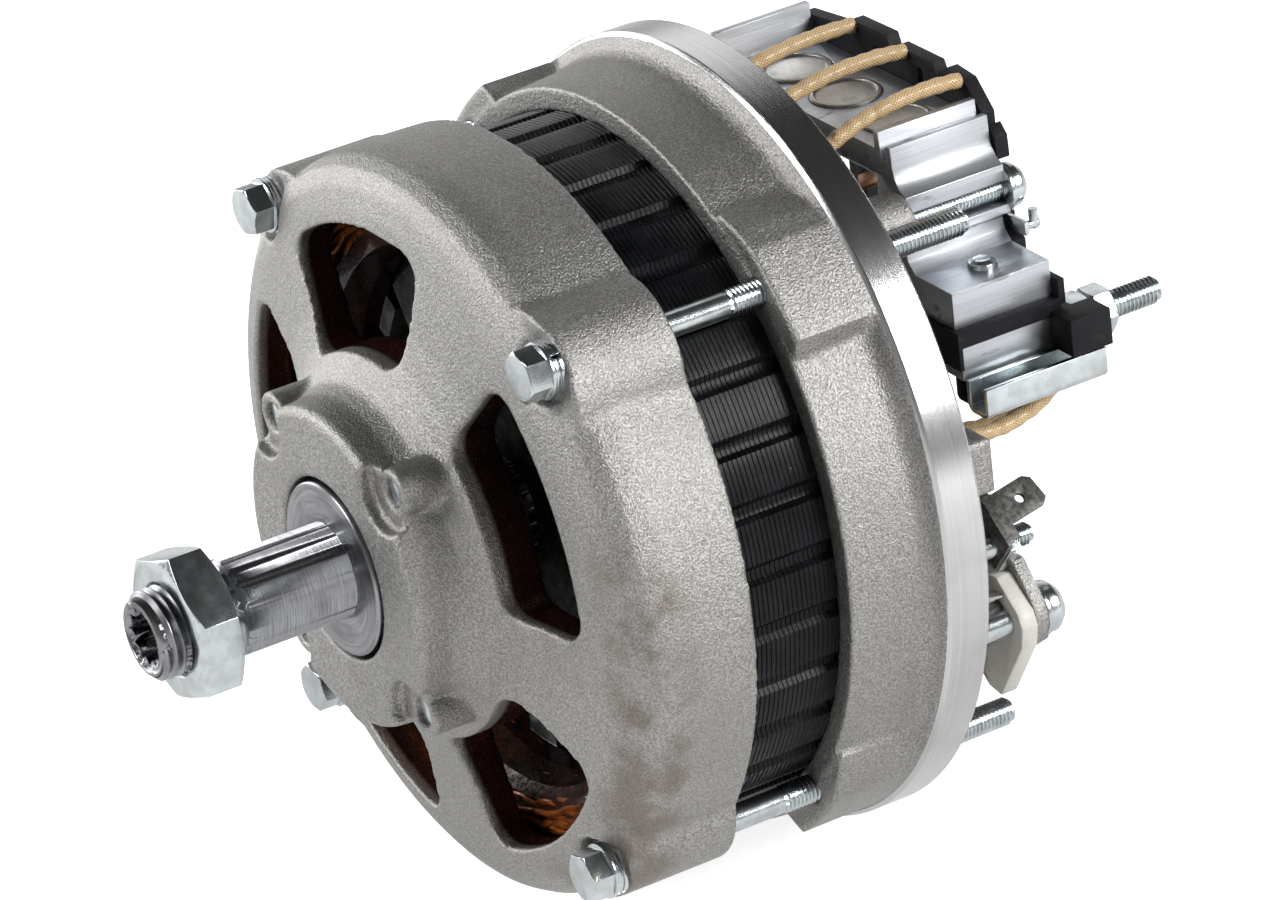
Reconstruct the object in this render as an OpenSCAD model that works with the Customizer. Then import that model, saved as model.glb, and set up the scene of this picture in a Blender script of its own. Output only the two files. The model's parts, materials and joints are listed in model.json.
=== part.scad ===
// Small flange-mounted claw-pole alternator with an open rectifier, in millimetres.
// The shaft runs along Y with the nut towards -Y, and +Z is up.
// The origin is on the shaft axis at the rear edge of the machined pilot ring.

/* [Main sizes] */
// Diameter of the machined pilot ring
pilot_d = 142.8; // [140:0.1:146]
// Length of the pilot ring along the shaft
pilot_len = 8; // [6:0.5:10]
// Circle through the four long bolts
bolt_pcd = 131; // [128:0.5:134]
// Thread of the long bolts
bolt_d = 5; // [4:0.5:6]
// How far the bolts stand out behind the ring
stud_out = 16.9; // [12:0.1:20]
// Diameter of the ground shaft seat
shaft_d = 17; // [15:0.5:20]
// Nut across flats
nut_af = 24; // [22:1:27]
// Nut height
nut_h = 8; // [6:0.5:10]

/* [Places along the shaft] */
// Front end of the shaft
shaft_front_y = -121.6; // [-125:0.1:-118]
// Front face of the hub
hub_face_y = -85; // [-88:0.1:-82]
// Front pads of the four hub holes
hub_pad_y = -82.4; // [-84:0.1:-80]
// Seats of the bolt heads
bolt_seat_y = -63.5; // [-66:0.1:-61]
// Edge of the front housing on the stator
front_edge_y = -42.9; // [-45:0.1:-40]
// Edge of the rear housing on the stator
rear_edge_y = -24.3; // [-27:0.1:-22]
// Rear end of the shaft
shaft_rear_y = 30; // [26:0.5:34]

/* [Stator] */
// Outside diameter of the stator stack
stator_d = 124.4; // [122:0.2:126]
// Stator bore
stator_bore = 92.6; // [90:0.2:94]
// Slots and outer notches
slots = 36; // [36:12:48]
// Depth that each housing overlaps the stack
seat_depth = 3.5; // [2:0.5:5]
// Wall of both housings round the stack
skirt_wall = 4.2; // [3:0.1:6]
// Ledge of both housings that clamps the stack
stack_ledge = 2; // [1:0.1:3]
// Room between the winding heads and the housings
winding_room = 2.3; // [1:0.1:4]

/* [Front housing] */
// Circle through the hub holes
hub_hole_r = 28.87; // [27:0.1:31]
// Hub radius
hub_r = 28.6; // [27:0.1:31]
// Windows of the front housing as start angle, end angle, inner and outer radius
front_windows = [[-1, 50, 34.5, 53], [78, 127, 34.5, 55.5], [149, 197, 34.5, 57],
    [215, 263, 35.5, 57.5], [283, 332, 34.5, 56.3]];
// Corner radius of the windows
window_corner = 4.5; // [2:0.5:6]

/* [Rear housing] */
// Windows of the rear wall as start angle, end angle, inner and outer radius
rear_windows = [[62, 90, 28, 51], [100, 126, 28, 51], [150, 192, 28, 54],
    [208, 250, 28, 54], [264, 306, 28, 54], [-6, 28, 28, 50]];

/* [Rectifier] */
// Front ends of both heat sinks
sink_y = 12; // [10:0.5:14]
// Length of the upper heat sink
sink_len = 19.8; // [18:0.1:22]
// Diode diameter
diode_d = 12.97; // [12:0.01:14]
// Places of the diodes along X
diode_x = [-10.2, 5.4, 21];
// Rectifier screw as X and Z
screw_xz = [34.9, 43.8];
// Output stud as X and Z
stud_xz = [47.1, 21.9];
// Rear end of the output stud
stud_end_y = 53.6; // [48:0.1:56]
// Outside diameter of the sleeved leads
lead_d = 2.7; // [2:0.1:4]
// Phase leads, each an arc in one plane: its X, then Y and Z of its start, middle and end
phase_leads = [[-7.5, [-7, 54], [10, 59.8], [31.9, 61.3]], [8.4, [-7, 53.6], [9, 60], [31.9, 61]],
    [25.2, [-7, 50], [9.7, 58.7], [31.9, 60.6]]];
// Neutral leads, side by side along X
neutral_x = [46.2, 48.9];
// Neutral loop as Y and Z of its start, middle and end
neutral_arc = [[1.4, 16], [17.9, 8], [31.8, 13.4]];

/* [Regulator] */
// Screw of the regulator lug as X and Z
lug_xz = [58.6, -22];
// Stud of the blade terminal as X and Z
tab_stud_xz = [56, -8.8];
// Turn of the blade about the shaft direction
tab_turn = -39.2; // [-60:0.1:0]
// Blade width
blade_w = 6.3; // [4.8:0.1:9.5]

/* [View] */
// Sub-part to show

/* [Hidden] */
$fn = 96;
eps = 0.01;
bolt_r = bolt_pcd / 2;
bolt_core_r = bolt_d / 2 - 0.2;
bolt_angles = [45, 135, 225, 315];
pilot_r = pilot_d / 2;
stator_r = stator_d / 2;
bore_r = stator_bore / 2;
rotor_r = bore_r - 0.4;
skirt_r = stator_r + skirt_wall;
cavity_r = stator_r - stack_ledge;
winding_r = cavity_r - winding_room;
block_root_r = skirt_r - 1.9;
stack_y0 = front_edge_y - seat_depth;
stack_y1 = rear_edge_y + seat_depth;
stack_mid = (stack_y0 + stack_y1) / 2;
shaft_r = shaft_d / 2;
shaft_step_y = shaft_front_y + 16.5;
nut_y = shaft_front_y + 4.8;
bolt_head_len = 6.5;
front_race_y0 = -81.2;
front_race_y1 = front_race_y0 + 14;
rear_race_y0 = -5.5;
rear_race_y1 = rear_race_y0 + 11;
front_ball_r = 4.36;
front_pitch_r = 16;
front_balls = 7;
rear_ball_r = 2.98;
rear_pitch_r = 12.5;
rear_balls = 8;
race_gap = 0.05;
claws = 6;
claw_front_y = -50.6;
claw_rear_y = -16.6;
claw_plate = 9;
bobbin_r = 25;
ring_ys = [12, 21];
ring_len = 6.4;
ring_r = 8.2;
brush_w = 6;
brush_len = 16;
brush_gap = 0.25;
brush_top_z = -ring_r - 0.3;
sink_end_y = sink_y + sink_len;
plate_top_z = 55.5;
plate_bot_z = 50.5;
terminal_z = 38;
bar_z0 = 19.2;
bar_z1 = 25.4;
block_set = 0.8;
coil_r = 35;
stud_nut_ys = [34.5, 39];
stud_nut_h = 4;
stud_thread_y = stud_nut_ys[1] + stud_nut_h;
stud_core_r = 2.1;
lug_y0 = 10;
lug_y1 = 13.3;
lug_y2 = 15.8;

// Shared shapes
module along_y(y0, y1) {
    translate([0, y1, 0]) rotate([90, 0, 0]) linear_extrude(height = y1 - y0) children();
}

module rod_y(r, y0, y1, r_end = -1) {
    translate([0, y0, 0]) rotate([-90, 0, 0])
        cylinder(r1 = r, r2 = r_end < 0 ? r : r_end, h = y1 - y0);
}

module tube_y(r_in, r_out, y0, y1) {
    difference() {
        rod_y(r_out, y0, y1);
        rod_y(r_in, y0 - 1, y1 + 1);
    }
}

module turned(profile) {
    rotate([-90, 0, 0]) rotate_extrude() polygon(profile);
}

module at_angle(a) {
    rotate([0, -a, 0]) children();
}

module at_xz(p) {
    translate([p[0], 0, p[1]]) children();
}

module at_bolts() {
    for (a = bolt_angles) at_angle(a) translate([bolt_r, 0, 0]) children();
}

module hex_y(af, y0, y1) {
    corner = af / sqrt(3);
    along_y(y0, y1) polygon([for (i = [0:5]) [corner * cos(60 * i), corner * sin(60 * i)]]);
}

module hex_chamfered(af, y0, y1) {
    outside = af / sqrt(3) + 1;
    flat = af / 2 - 0.1;
    rise = (outside - flat) * 0.5;
    intersection() {
        hex_y(af, y0, y1);
        turned([[0, y0], [flat, y0], [outside, y0 + rise], [outside, y1 - rise],
            [flat, y1], [0, y1]]);
    }
}

// Points of an arc about a centre given by its radius and angle
function arc_points(centre_r, centre_a, r, from, to, steps) = [for (i = [0:steps])
    let (t = from + (to - from) * i / steps)
    [centre_r * cos(centre_a) + r * cos(t), centre_r * sin(centre_a) + r * sin(t)]];

// A sector with rounded corners, drawn corner by corner
module rounded_sector(a0, a1, r_in, r_out, r) {
    turn_in = asin(r / (r_in + r));
    turn_out = asin(r / (r_out - r));
    corner_steps = 6;
    arc_steps = 12;
    polygon(concat(
        arc_points(r_out - r, a0 + turn_out, r, a0 - 90, a0 + turn_out, corner_steps),
        [for (i = [1:arc_steps - 1])
            let (t = a0 + turn_out + (a1 - a0 - 2 * turn_out) * i / arc_steps)
            [r_out * cos(t), r_out * sin(t)]],
        arc_points(r_out - r, a1 - turn_out, r, a1 - turn_out, a1 + 90, corner_steps),
        arc_points(r_in + r, a1 - turn_in, r, a1 + 90, a1 - turn_in + 180, corner_steps),
        [for (i = [1:arc_steps - 1])
            let (t = a1 - turn_in - (a1 - a0 - 2 * turn_in) * i / arc_steps)
            [r_in * cos(t), r_in * sin(t)]],
        arc_points(r_in + r, a0 + turn_in, r, a0 + turn_in + 180, a0 + 270, corner_steps)));
}

module torus_y(ring_radius, r, y) {
    translate([0, y, 0]) rotate([-90, 0, 0]) rotate_extrude() translate([ring_radius, 0])
        circle(r = r);
}

// Centre of the circle through three points of a plane
function arc_centre(a, b, c) =
    let (d = 2 * (a[0] * (b[1] - c[1]) + b[0] * (c[1] - a[1]) + c[0] * (a[1] - b[1])))
    [((a * a) * (b[1] - c[1]) + (b * b) * (c[1] - a[1]) + (c * c) * (a[1] - b[1])) / d,
        ((a * a) * (c[0] - b[0]) + (b * b) * (a[0] - c[0]) + (c * c) * (b[0] - a[0])) / d];

// A round lead bent to the arc through three points, in a plane across X
module lead(x, a, b, c, r) {
    centre = arc_centre(a, b, c);
    radius = norm(a - centre);
    from = atan2(a[1] - centre[1], a[0] - centre[0]);
    to = atan2(c[1] - centre[1], c[0] - centre[0]);
    low = min(from, to);
    translate([x, centre[0], centre[1]]) multmatrix([[0, 0, 1, 0], [1, 0, 0, 0], [0, 1, 0, 0],
        [0, 0, 0, 1]]) rotate([0, 0, low]) rotate_extrude(angle = max(from, to) - low)
        translate([radius, 0]) circle(r = r);
}

// Housings
module drive_end_housing() {
    seat_r = 23.5;
    color("silver") difference() {
        union() {
            turned([[seat_r, front_race_y1], [seat_r, front_race_y0], [16.3, front_race_y0],
                [16.3, hub_face_y], [hub_r - 1.2, hub_face_y], [hub_r, hub_face_y + 1],
                [hub_r + 0.4, -79], [hub_r + 1.6, -76], [hub_r + 4.4, -73.4],
                [hub_r + 8.4, -71.4], [hub_r + 14.4, -69.6], [skirt_r - 8.4, -67.4],
                [skirt_r - 4.4, -66.3], [skirt_r - 1.8, -64.6], [skirt_r - 0.2, -61.8],
                [skirt_r + 0.4, -58],
                [skirt_r, front_edge_y], [stator_r, front_edge_y], [stator_r, stack_y0],
                [cavity_r, stack_y0], [cavity_r, -56], [cavity_r - 1.4, -59.5],
                [cavity_r - 5.2, -61.3],
                [33.4, -63.6], [33.4, front_race_y1]]);
            for (a = bolt_angles) at_angle(a) {
                translate([hub_hole_r, 0, 0]) rod_y(4.4, hub_pad_y - 1, -70);
                difference() {
                    translate([56, 0, 0]) rod_y(14.4, bolt_seat_y - 0.6, front_edge_y - 0.15);
                    at_angle(-a) rod_y(block_root_r, bolt_seat_y - 2, front_edge_y + 1);
                }
            }
        }
        for (w = front_windows)
            along_y(-78, -50) rounded_sector(w[0], w[1], w[2], w[3], window_corner);
        for (a = bolt_angles) at_angle(a) {
            translate([bolt_r, 0, 0]) rod_y(6.1, -72, bolt_seat_y);
            translate([bolt_r, 0, 0]) rod_y(bolt_d / 2 + 0.25, -72, front_edge_y + 1);
            translate([hub_hole_r, 0, 0]) rod_y(6.4, -88, hub_pad_y);
            translate([hub_hole_r, 0, 0]) rod_y(2.5, -88, front_race_y1 + 1);
        }
    }
}

module rear_housing() {
    color("silver") difference() {
        union() {
            turned([[skirt_r, rear_edge_y], [skirt_r + 1, -pilot_len - 4.6],
                [skirt_r + 1.2, -pilot_len - 3], [pilot_r - 2.8, -pilot_len - 1.4],
                [pilot_r - 1.1, -pilot_len - 0.4],
                [pilot_r - 0.3, -pilot_len], [pilot_r, -pilot_len + 0.4], [pilot_r, 0], [62.8, 0],
                [61.4, -0.8], [23, -0.8], [22.6, 0], [22.6, 6.8], [22, 7.4], [18.4, 7.4],
                [18.4, rear_race_y0 - 0.2], [14, rear_race_y0 - 0.2],
                [14, -8], [22.4, -8], [24.4, -5.6], [cavity_r - 3.2, -5.2],
                [cavity_r - 0.8, -7], [cavity_r, -10],
                [cavity_r, stack_y1], [stator_r, stack_y1], [stator_r, rear_edge_y]]);
            // Blocks round the long bolts, a little inside the ring
            for (a = bolt_angles) difference() {
                intersection() {
                    rod_y(pilot_r - block_set, rear_edge_y + 0.3, -pilot_len + 0.5);
                    at_angle(a) along_y(rear_edge_y, -pilot_len + 0.5)
                        polygon([[60, -15], [67, -12.6], [70.4, -10.9], [74, -10.9], [74, 2.5],
                            [71, 4], [68.6, 10.6], [66, 15], [60, 15]]);
                }
                rod_y(block_root_r, rear_edge_y - 1, 0);
            }
            at_xz(screw_xz) rod_y(6.2, -2, sink_y, 5.6);
            at_xz([-screw_xz[0], screw_xz[1]]) rod_y(6.2, -2, sink_y, 5.6);
            at_xz(lug_xz) rod_y(7.6, -2, lug_y0, 5.4);
            at_xz([26, -40]) rod_y(6, -2, lug_y0, 5.2);
            // Cast wall beside the neutral leads
            translate([51, -2, 2]) cube([7, 13, 10]);
        }
        for (w = rear_windows)
            along_y(-12, 1) rounded_sector(w[0], w[1], w[2], w[3], 4);
        at_bolts() rod_y(bolt_core_r, rear_edge_y - 2, 1);
        at_xz(screw_xz) rod_y(2, -8, sink_y + 1);
        at_xz([-screw_xz[0], screw_xz[1]]) rod_y(2, -8, sink_y + 1);
        at_xz(lug_xz) rod_y(2.5, -8, lug_y0 + 1);
        at_xz([26, -40]) rod_y(2, -8, lug_y0 + 1);
        // Holes that the leads leave by
        for (l = phase_leads) translate([l[0], 0, (l[1][1] + l[2][1]) / 2 - 1.2]) rod_y(3.8, -9, 4);
    }
}

// Stator
module stator_core() {
    notch_r = 2.2;
    color("#1c1d20") difference() {
        rod_y(stator_r, stack_y0, stack_y1);
        rod_y(bore_r, stack_y0 - 1, stack_y1 + 1);
        for (i = [0:slots - 1]) at_angle((i + 0.5) * 360 / slots) {
            translate([stator_r + 1, 0, 0]) rod_y(notch_r, stack_y0 - 1, stack_y1 + 1);
            translate([bore_r - 2, stack_y0 - 1, -1.1]) cube([4, 40, 2.2]);
            translate([bore_r + 1.6, stack_y0 - 1, -2.1])
                cube([winding_r - 0.6 - bore_r - 1.6, 40, 4.2]);
        }
    }
}

module winding_end(y_stack, side) {
    turned([[bore_r + 2.2, y_stack + side * 0.4], [bore_r + 1.4, y_stack + side * 5],
        [bore_r + 2.4, y_stack + side * 10.4], [bore_r + 4.6, y_stack + side * 12],
        [winding_r - 3, y_stack + side * 12], [winding_r - 0.8, y_stack + side * 10.2],
        [winding_r, y_stack + side * 5], [winding_r - 0.8, y_stack + side * 0.4]]);
}

module stator_winding() {
    color("#a8502a") union() {
        winding_end(stack_y0, -1);
        winding_end(stack_y1, 1);
        for (i = [0:slots - 1]) at_angle((i + 0.5) * 360 / slots)
            translate([bore_r + 2.2, stack_y0 - 2, -1.8])
                cube([winding_r - 1 - bore_r - 2.2, stack_y1 - stack_y0 + 4, 3.6]);
    }
}

// Long bolts
module through_bolts() {
    color("#c9ccd0") at_bolts() union() {
        hex_chamfered(8, bolt_seat_y - bolt_head_len, bolt_seat_y - 1.9);
        rod_y(4.9, bolt_seat_y - 2.6, bolt_seat_y - 1.9);
        rod_y(bolt_core_r, bolt_seat_y - 2, 0.1);
        rod_y(bolt_d / 2, 0.1, stud_out - 0.6);
        rod_y(bolt_d / 2, stud_out - 0.6, stud_out, bolt_d / 2 - 0.5);
    }
}

module bolt_washers() {
    color("#c9ccd0") at_bolts() difference() {
        rod_y(4.7, bolt_seat_y - 1.9, bolt_seat_y);
        rod_y(bolt_d / 2, bolt_seat_y - 3, bolt_seat_y + 1);
        translate([2, bolt_seat_y - 2.4, -0.3]) cube([4, 3, 0.6]);
        tube_y(4.35, 6, bolt_seat_y - 1.15, bolt_seat_y - 0.85);
    }
}

// Front bearing and its retainer
module bearing_retainer() {
    color("#b9bcc0") difference() {
        rod_y(33, front_race_y1, front_race_y1 + 2.5);
        rod_y(17.5, front_race_y1 - 1, front_race_y1 + 4);
        for (a = bolt_angles) at_angle(a) translate([hub_hole_r, 0, 0])
            rod_y(2.5, front_race_y1 - 1, front_race_y1 + 4);
    }
}

module retainer_screws() {
    color("#c9ccd0") for (a = bolt_angles) at_angle(a) translate([hub_hole_r, 0, 0]) difference() {
        union() {
            rod_y(2.5, hub_pad_y + 0.9, front_race_y1 + 2.5);
            rod_y(3.9, front_race_y1 + 2.5, front_race_y1 + 4.9);
        }
        translate([-0.45, front_race_y1 + 3.7, -5]) cube([0.9, 3, 10]);
        translate([-5, front_race_y1 + 3.7, -0.45]) cube([10, 3, 0.9]);
    }
}

module bearing_race(r_in, r_out, y0, y1, pitch, ball) {
    difference() {
        tube_y(r_in, r_out, y0, y1);
        torus_y(pitch, ball + race_gap, (y0 + y1) / 2);
    }
}

module bearing_balls(pitch, ball, count, y) {
    for (i = [0:count - 1]) at_angle(i * 360 / count) translate([pitch, y, 0]) sphere(r = ball);
}

module bearing_cage(pitch, ball, count, y, half, wall) {
    difference() {
        tube_y(pitch - wall, pitch + wall, y - half, y + half);
        for (i = [0:count - 1]) at_angle(i * 360 / count) translate([pitch - 4, y, 0])
            rotate([0, 90, 0]) cylinder(r = ball + race_gap, h = 8);
    }
}

module front_bearing_outer() {
    color("#b7babd") bearing_race(19.2, 23.5, front_race_y0, front_race_y1, front_pitch_r,
        front_ball_r);
}

module front_bearing_inner() {
    color("#b7babd") bearing_race(shaft_r, 12.8, front_race_y0, front_race_y1, front_pitch_r,
        front_ball_r);
}

module front_bearing_balls() {
    color("#d4d6d8") bearing_balls(front_pitch_r, front_ball_r, front_balls,
        (front_race_y0 + front_race_y1) / 2);
}

module front_bearing_cage() {
    color("#8f9498") bearing_cage(front_pitch_r, front_ball_r, front_balls,
        (front_race_y0 + front_race_y1) / 2, 5.3, 1.2);
}

module front_bearing_seals() {
    color("#2a2a2a") for (y = [front_race_y0 + 0.3, front_race_y1 - 1.2])
        tube_y(13.1, 19.2, y, y + 0.9);
}

// Rear bearing
module rear_bearing_sleeve() {
    color("#30343a") tube_y(17.5, 18.4, rear_race_y0, rear_race_y1);
}

module rear_bearing_outer() {
    color("#b7babd") bearing_race(14.9, 17.5, rear_race_y0, rear_race_y1, rear_pitch_r,
        rear_ball_r);
}

module rear_bearing_inner() {
    color("#b7babd") bearing_race(7.5, 10.1, rear_race_y0, rear_race_y1, rear_pitch_r,
        rear_ball_r);
}

module rear_bearing_balls() {
    color("#d4d6d8") bearing_balls(rear_pitch_r, rear_ball_r, rear_balls,
        (rear_race_y0 + rear_race_y1) / 2);
}

module rear_bearing_cage() {
    color("#8f9498") bearing_cage(rear_pitch_r, rear_ball_r, rear_balls,
        (rear_race_y0 + rear_race_y1) / 2, 3.9, 0.9);
}

// Rotor
module rotor_shaft() {
    spline_depth = 11;
    color("#7d8085") difference() {
        turned([[0, shaft_front_y], [6.6, shaft_front_y], [7.9, shaft_front_y + 1.3],
            [7.9, nut_y + nut_h + 0.3], [7, nut_y + nut_h + 0.9], [7, shaft_step_y - 1.4],
            [shaft_r, shaft_step_y], [shaft_r, -53], [10, -53], [10, -12.4], [9, -12],
            [9, rear_race_y0], [7.5, rear_race_y0], [7.5, rear_race_y1 + 1], [6, rear_race_y1 + 1.6],
            [6, shaft_rear_y - 0.6], [5.4, shaft_rear_y], [0, shaft_rear_y]]);
        along_y(shaft_front_y - 1, shaft_front_y + spline_depth)
            polygon([for (i = [0:23]) (i % 2 == 0 ? 5.2 : 4.1) * [cos(15 * i), sin(15 * i)]]);
        turned([[0, shaft_front_y - 1], [6.2, shaft_front_y - 1], [5.2, shaft_front_y + 0.6],
            [0, shaft_front_y + 0.6]]);
    }
}

module spacer_ring() {
    color("#8b8f94") turned([[shaft_r, -85.3], [15.2, -85.3], [15.54, -84.9], [15.54, -82.2],
        [11.6, -82.2], [11.6, front_race_y0], [shaft_r, front_race_y0]]);
}

module inner_spacer() {
    color("#8b8f94") tube_y(shaft_r, 12, front_race_y1, -53);
}

module shaft_nut() {
    color("#c9ccd0") difference() {
        hex_chamfered(nut_af, nut_y, nut_y + nut_h);
        rod_y(7.9, nut_y - 1, nut_y + nut_h + 1);
        rod_y(9, nut_y - 1, nut_y + 1, 7.9);
    }
}

module claw_pole(y_disc, side) {
    y_in = y_disc + side * claw_plate;
    y_tip = y_disc + side * 32.8;
    intersection() {
        turned([[10, y_disc], [44.4, y_disc], [rotor_r, y_disc + side * 1.4], [rotor_r, y_tip],
            [42.6, y_tip], [37.4, y_in], [10, y_in]]);
        union() {
            rod_y(27, min(y_disc, y_in), max(y_disc, y_in));
            for (i = [0:claws - 1]) at_angle(i * 60 + (side > 0 ? 0 : 30)) translate([0, 0, 0])
                rotate([0, 90, 0]) linear_extrude(height = 50)
                    polygon([[-12.4, y_disc], [-10.6, y_in], [-4.4, y_tip], [4.4, y_tip],
                        [10.6, y_in], [12.4, y_disc]]);
        }
    }
}

module front_claw_pole() {
    color("#77797d") claw_pole(claw_front_y, 1);
}

module rear_claw_pole() {
    color("#77797d") claw_pole(claw_rear_y, -1);
}

module rotor_core() {
    color("#77797d") tube_y(10, bobbin_r, claw_front_y + claw_plate, claw_rear_y - claw_plate);
}

module coil_bobbin() {
    y0 = claw_front_y + claw_plate;
    y1 = claw_rear_y - claw_plate;
    color("#c8b48a") difference() {
        rod_y(36, y0, y1);
        rod_y(bobbin_r, y0 - 1, y1 + 1);
        tube_y(bobbin_r + 1.2, 40, y0 + 1.2, y1 - 1.2);
    }
}

module field_coil() {
    color("#a8502a") tube_y(bobbin_r + 1.2, coil_r, claw_front_y + claw_plate + 1.2,
        claw_rear_y - claw_plate - 1.2);
}

module slip_ring_insulator() {
    color("#4a3626") difference() {
        union() {
            rod_y(7.2, 7.8, 29);
            for (y = [10.8, ring_ys[0] + ring_len, ring_ys[1] + ring_len]) rod_y(8, y, y + 1.2);
            rod_y(8, ring_ys[1] - 1.2, ring_ys[1]);
        }
        rod_y(6, 7, 31);
    }
}

module slip_rings() {
    color("#b9783f") for (y = ring_ys) tube_y(7.2, ring_r, y, y + ring_len);
}

// Rectifier
module negative_heat_sink() {
    color("#c8ccd2") difference() {
        along_y(sink_y, sink_end_y) polygon([[-22.3, plate_bot_z], [-22.3, 61.7], [-20.9, 61.7],
            [-20.9, plate_top_z], [28.4, plate_top_z], [28.4, 58.6], [29.8, 58.6], [30.3, 53.8],
            [31.5, 53.8], [31.8, 56.7], [33.2, 56.7], [33.4, 53], [33.9, 51.2], [34.9, 49.7],
            [36.8, 48.7], [36.9, 45.75], [32.9, 45.75], [32.9, 41.85], [37.9, 41.85], [37.9, 40.3],
            [36, 39.7], [35.2, 38.6], [35.6, 36.6], [37.5, 34.8], [48.4, 34.8], [48.4, 28.2],
            [28.2, 28.2], [28.2, plate_bot_z]]);
        for (x = diode_x) translate([x, 21.4, plate_bot_z - 1]) cylinder(d = diode_d, h = 8);
        at_xz(screw_xz) rod_y(2.1, sink_y - 1, sink_end_y + 1);
        translate([42.3, 22.4, 27]) cylinder(r = 1.7, h = 9);
    }
}

module positive_heat_sink() {
    color("#c8ccd2") difference() {
        translate([-24, sink_y, bar_z0]) cube([73.7, 20.3, bar_z1 - bar_z0]);
        for (x = diode_x) translate([x, 21.4, bar_z0 - 1]) cylinder(d = diode_d, h = 8);
        translate([42.3, 22.4, bar_z0 - 1]) cylinder(r = 1.7, h = 9);
        at_xz(stud_xz) rod_y(stud_core_r, 22, 34);
    }
}

module diode(z_face, side) {
    wire_len = side > 0 ? z_face - terminal_z - 0.8 : terminal_z - z_face;
    translate([0, 21.4, z_face]) rotate([side > 0 ? 0 : 180, 0, 0]) union() {
        translate([0, 0, -5]) cylinder(d = diode_d, h = 5.2);
        difference() {
            translate([0, 0, 0.2]) cylinder(d = diode_d - 0.7, h = 0.5);
            translate([0, 0, 0.45]) cylinder(d = diode_d - 2.2, h = 1);
        }
        translate([0, 0, -7]) cylinder(d = 8.4, h = 2);
        translate([0, 0, -8.6]) cylinder(d = 2.6, h = 1.6);
        translate([0, 0, -wire_len]) cylinder(d = 1.3, h = wire_len - 8.6);
    }
}

module negative_diodes() {
    color("#a9a49c") for (x = diode_x) translate([x, 0, 0]) diode(plate_top_z, 1);
}

module positive_diodes() {
    color("#a9a49c") for (x = diode_x) translate([x, 0, 0]) diode(bar_z0, -1);
}

module phase_terminals() {
    strip = [5, 15, 0.8];
    color("#b5763c") for (x = diode_x) translate([x - strip[0] / 2, sink_y + 5, terminal_z])
        cube(strip);
}

module rectifier_carrier() {
    wall_y0 = 32;
    wall_y1 = 34.6;
    color("#1d1e20") difference() {
        union() {
            along_y(wall_y0, wall_y1) polygon([[-38, 36], [-42, 41], [-42, 48], [-34, 52], [-24, 59],
                [-9, 60.6], [-8, 62.2], [3, 62.4], [4, 60], [6, 61.4], [17, 61.4], [18, 59.4],
                [21, 61.6], [26.6, 61], [34.6, 52.8], [34.8, 49.6], [34.8, 36.4], [37.4, 34.4],
                [37.4, 29], [27, 26.4], [-24, 26.4]]);
            // Left column that takes the second screw
            along_y(sink_y, wall_y0) polygon([[-41, 38.4], [-41, 49], [-34, 51.6], [-24.4, 51.6],
                [-24.4, 36], [-38, 36]]);
            translate([-24.4, sink_y + 2, 45.6]) cube([10, 17.6, 2.4]);
        }
        for (x = [-0.9, 12.8, 32]) translate([x - 0.7, wall_y0 - 1, x > 20 ? 53.6 : 56])
            cube([1.5, 5, 3.2]);
        for (x = [-16, -2, 12]) translate([x - 5, wall_y0 - 1, 40]) cube([10, 5, 12]);
        for (x = [-18, -3, 12]) translate([x - 5.5, wall_y0 - 1, 28]) cube([11, 5, 7]);
        at_xz(screw_xz) rod_y(5, wall_y0 - 1, wall_y1 + 1);
        at_xz([-screw_xz[0], screw_xz[1]]) rod_y(2.1, sink_y - 1, wall_y1 + 1);
    }
}

module insulating_plate() {
    color("#17181a") difference() {
        union() {
            translate([27.4, sink_y - 0.8, bar_z1]) cube([22.9, 20.8, 28.2 - bar_z1]);
            translate([27.4, sink_y - 0.8, 21.4]) cube([22.9, 0.8, 4.4]);
            translate([45, 31.9, 27]) cube([5.3, 1.3, 4.6]);
        }
        translate([42.3, 22.4, bar_z1 - 1]) cylinder(r = 1.7, h = 9);
    }
}

module sink_rivet() {
    color("#d2d5d8") translate([42.3, 22.4, 0]) union() {
        translate([0, 0, bar_z0 - 1.2]) cylinder(r = 2.9, h = 1.2);
        translate([0, 0, bar_z0]) cylinder(r = 1.7, h = 34.8 - bar_z0);
        translate([0, 0, 34.8]) cylinder(r1 = 2.6, r2 = 2.3, h = 0.9);
        translate([0, 0, 35.7]) cylinder(r1 = 2.1, r2 = 1.5, h = 0.5);
    }
}

module pan_screw(y_seat, y_tip, shank_r, head_r, head_h) {
    difference() {
        union() {
            rod_y(shank_r, y_tip, y_seat);
            rod_y(head_r, y_seat, y_seat + head_h * 0.55);
            rod_y(head_r, y_seat + head_h * 0.55, y_seat + head_h, head_r * 0.72);
        }
        translate([-0.6, y_seat + head_h * 0.4, -head_r * 0.6]) cube([1.2, 5, head_r * 1.2]);
        translate([-head_r * 0.6, y_seat + head_h * 0.4, -0.6]) cube([head_r * 1.2, 5, 1.2]);
    }
}

module rectifier_screws() {
    color("#c9ccd0") union() {
        at_xz(screw_xz) pan_screw(sink_end_y + 0.9, -4, 2, 3.9, 2.9);
        at_xz([-screw_xz[0], screw_xz[1]]) pan_screw(34.6 + 0.9, -4, 2, 3.9, 2.9);
    }
}

module rectifier_washers() {
    color("#c9ccd0") union() {
        at_xz(screw_xz) tube_y(2, 4.3, sink_end_y, sink_end_y + 0.9);
        at_xz([-screw_xz[0], screw_xz[1]]) tube_y(2, 4.3, 34.6, 35.5);
    }
}

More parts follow.
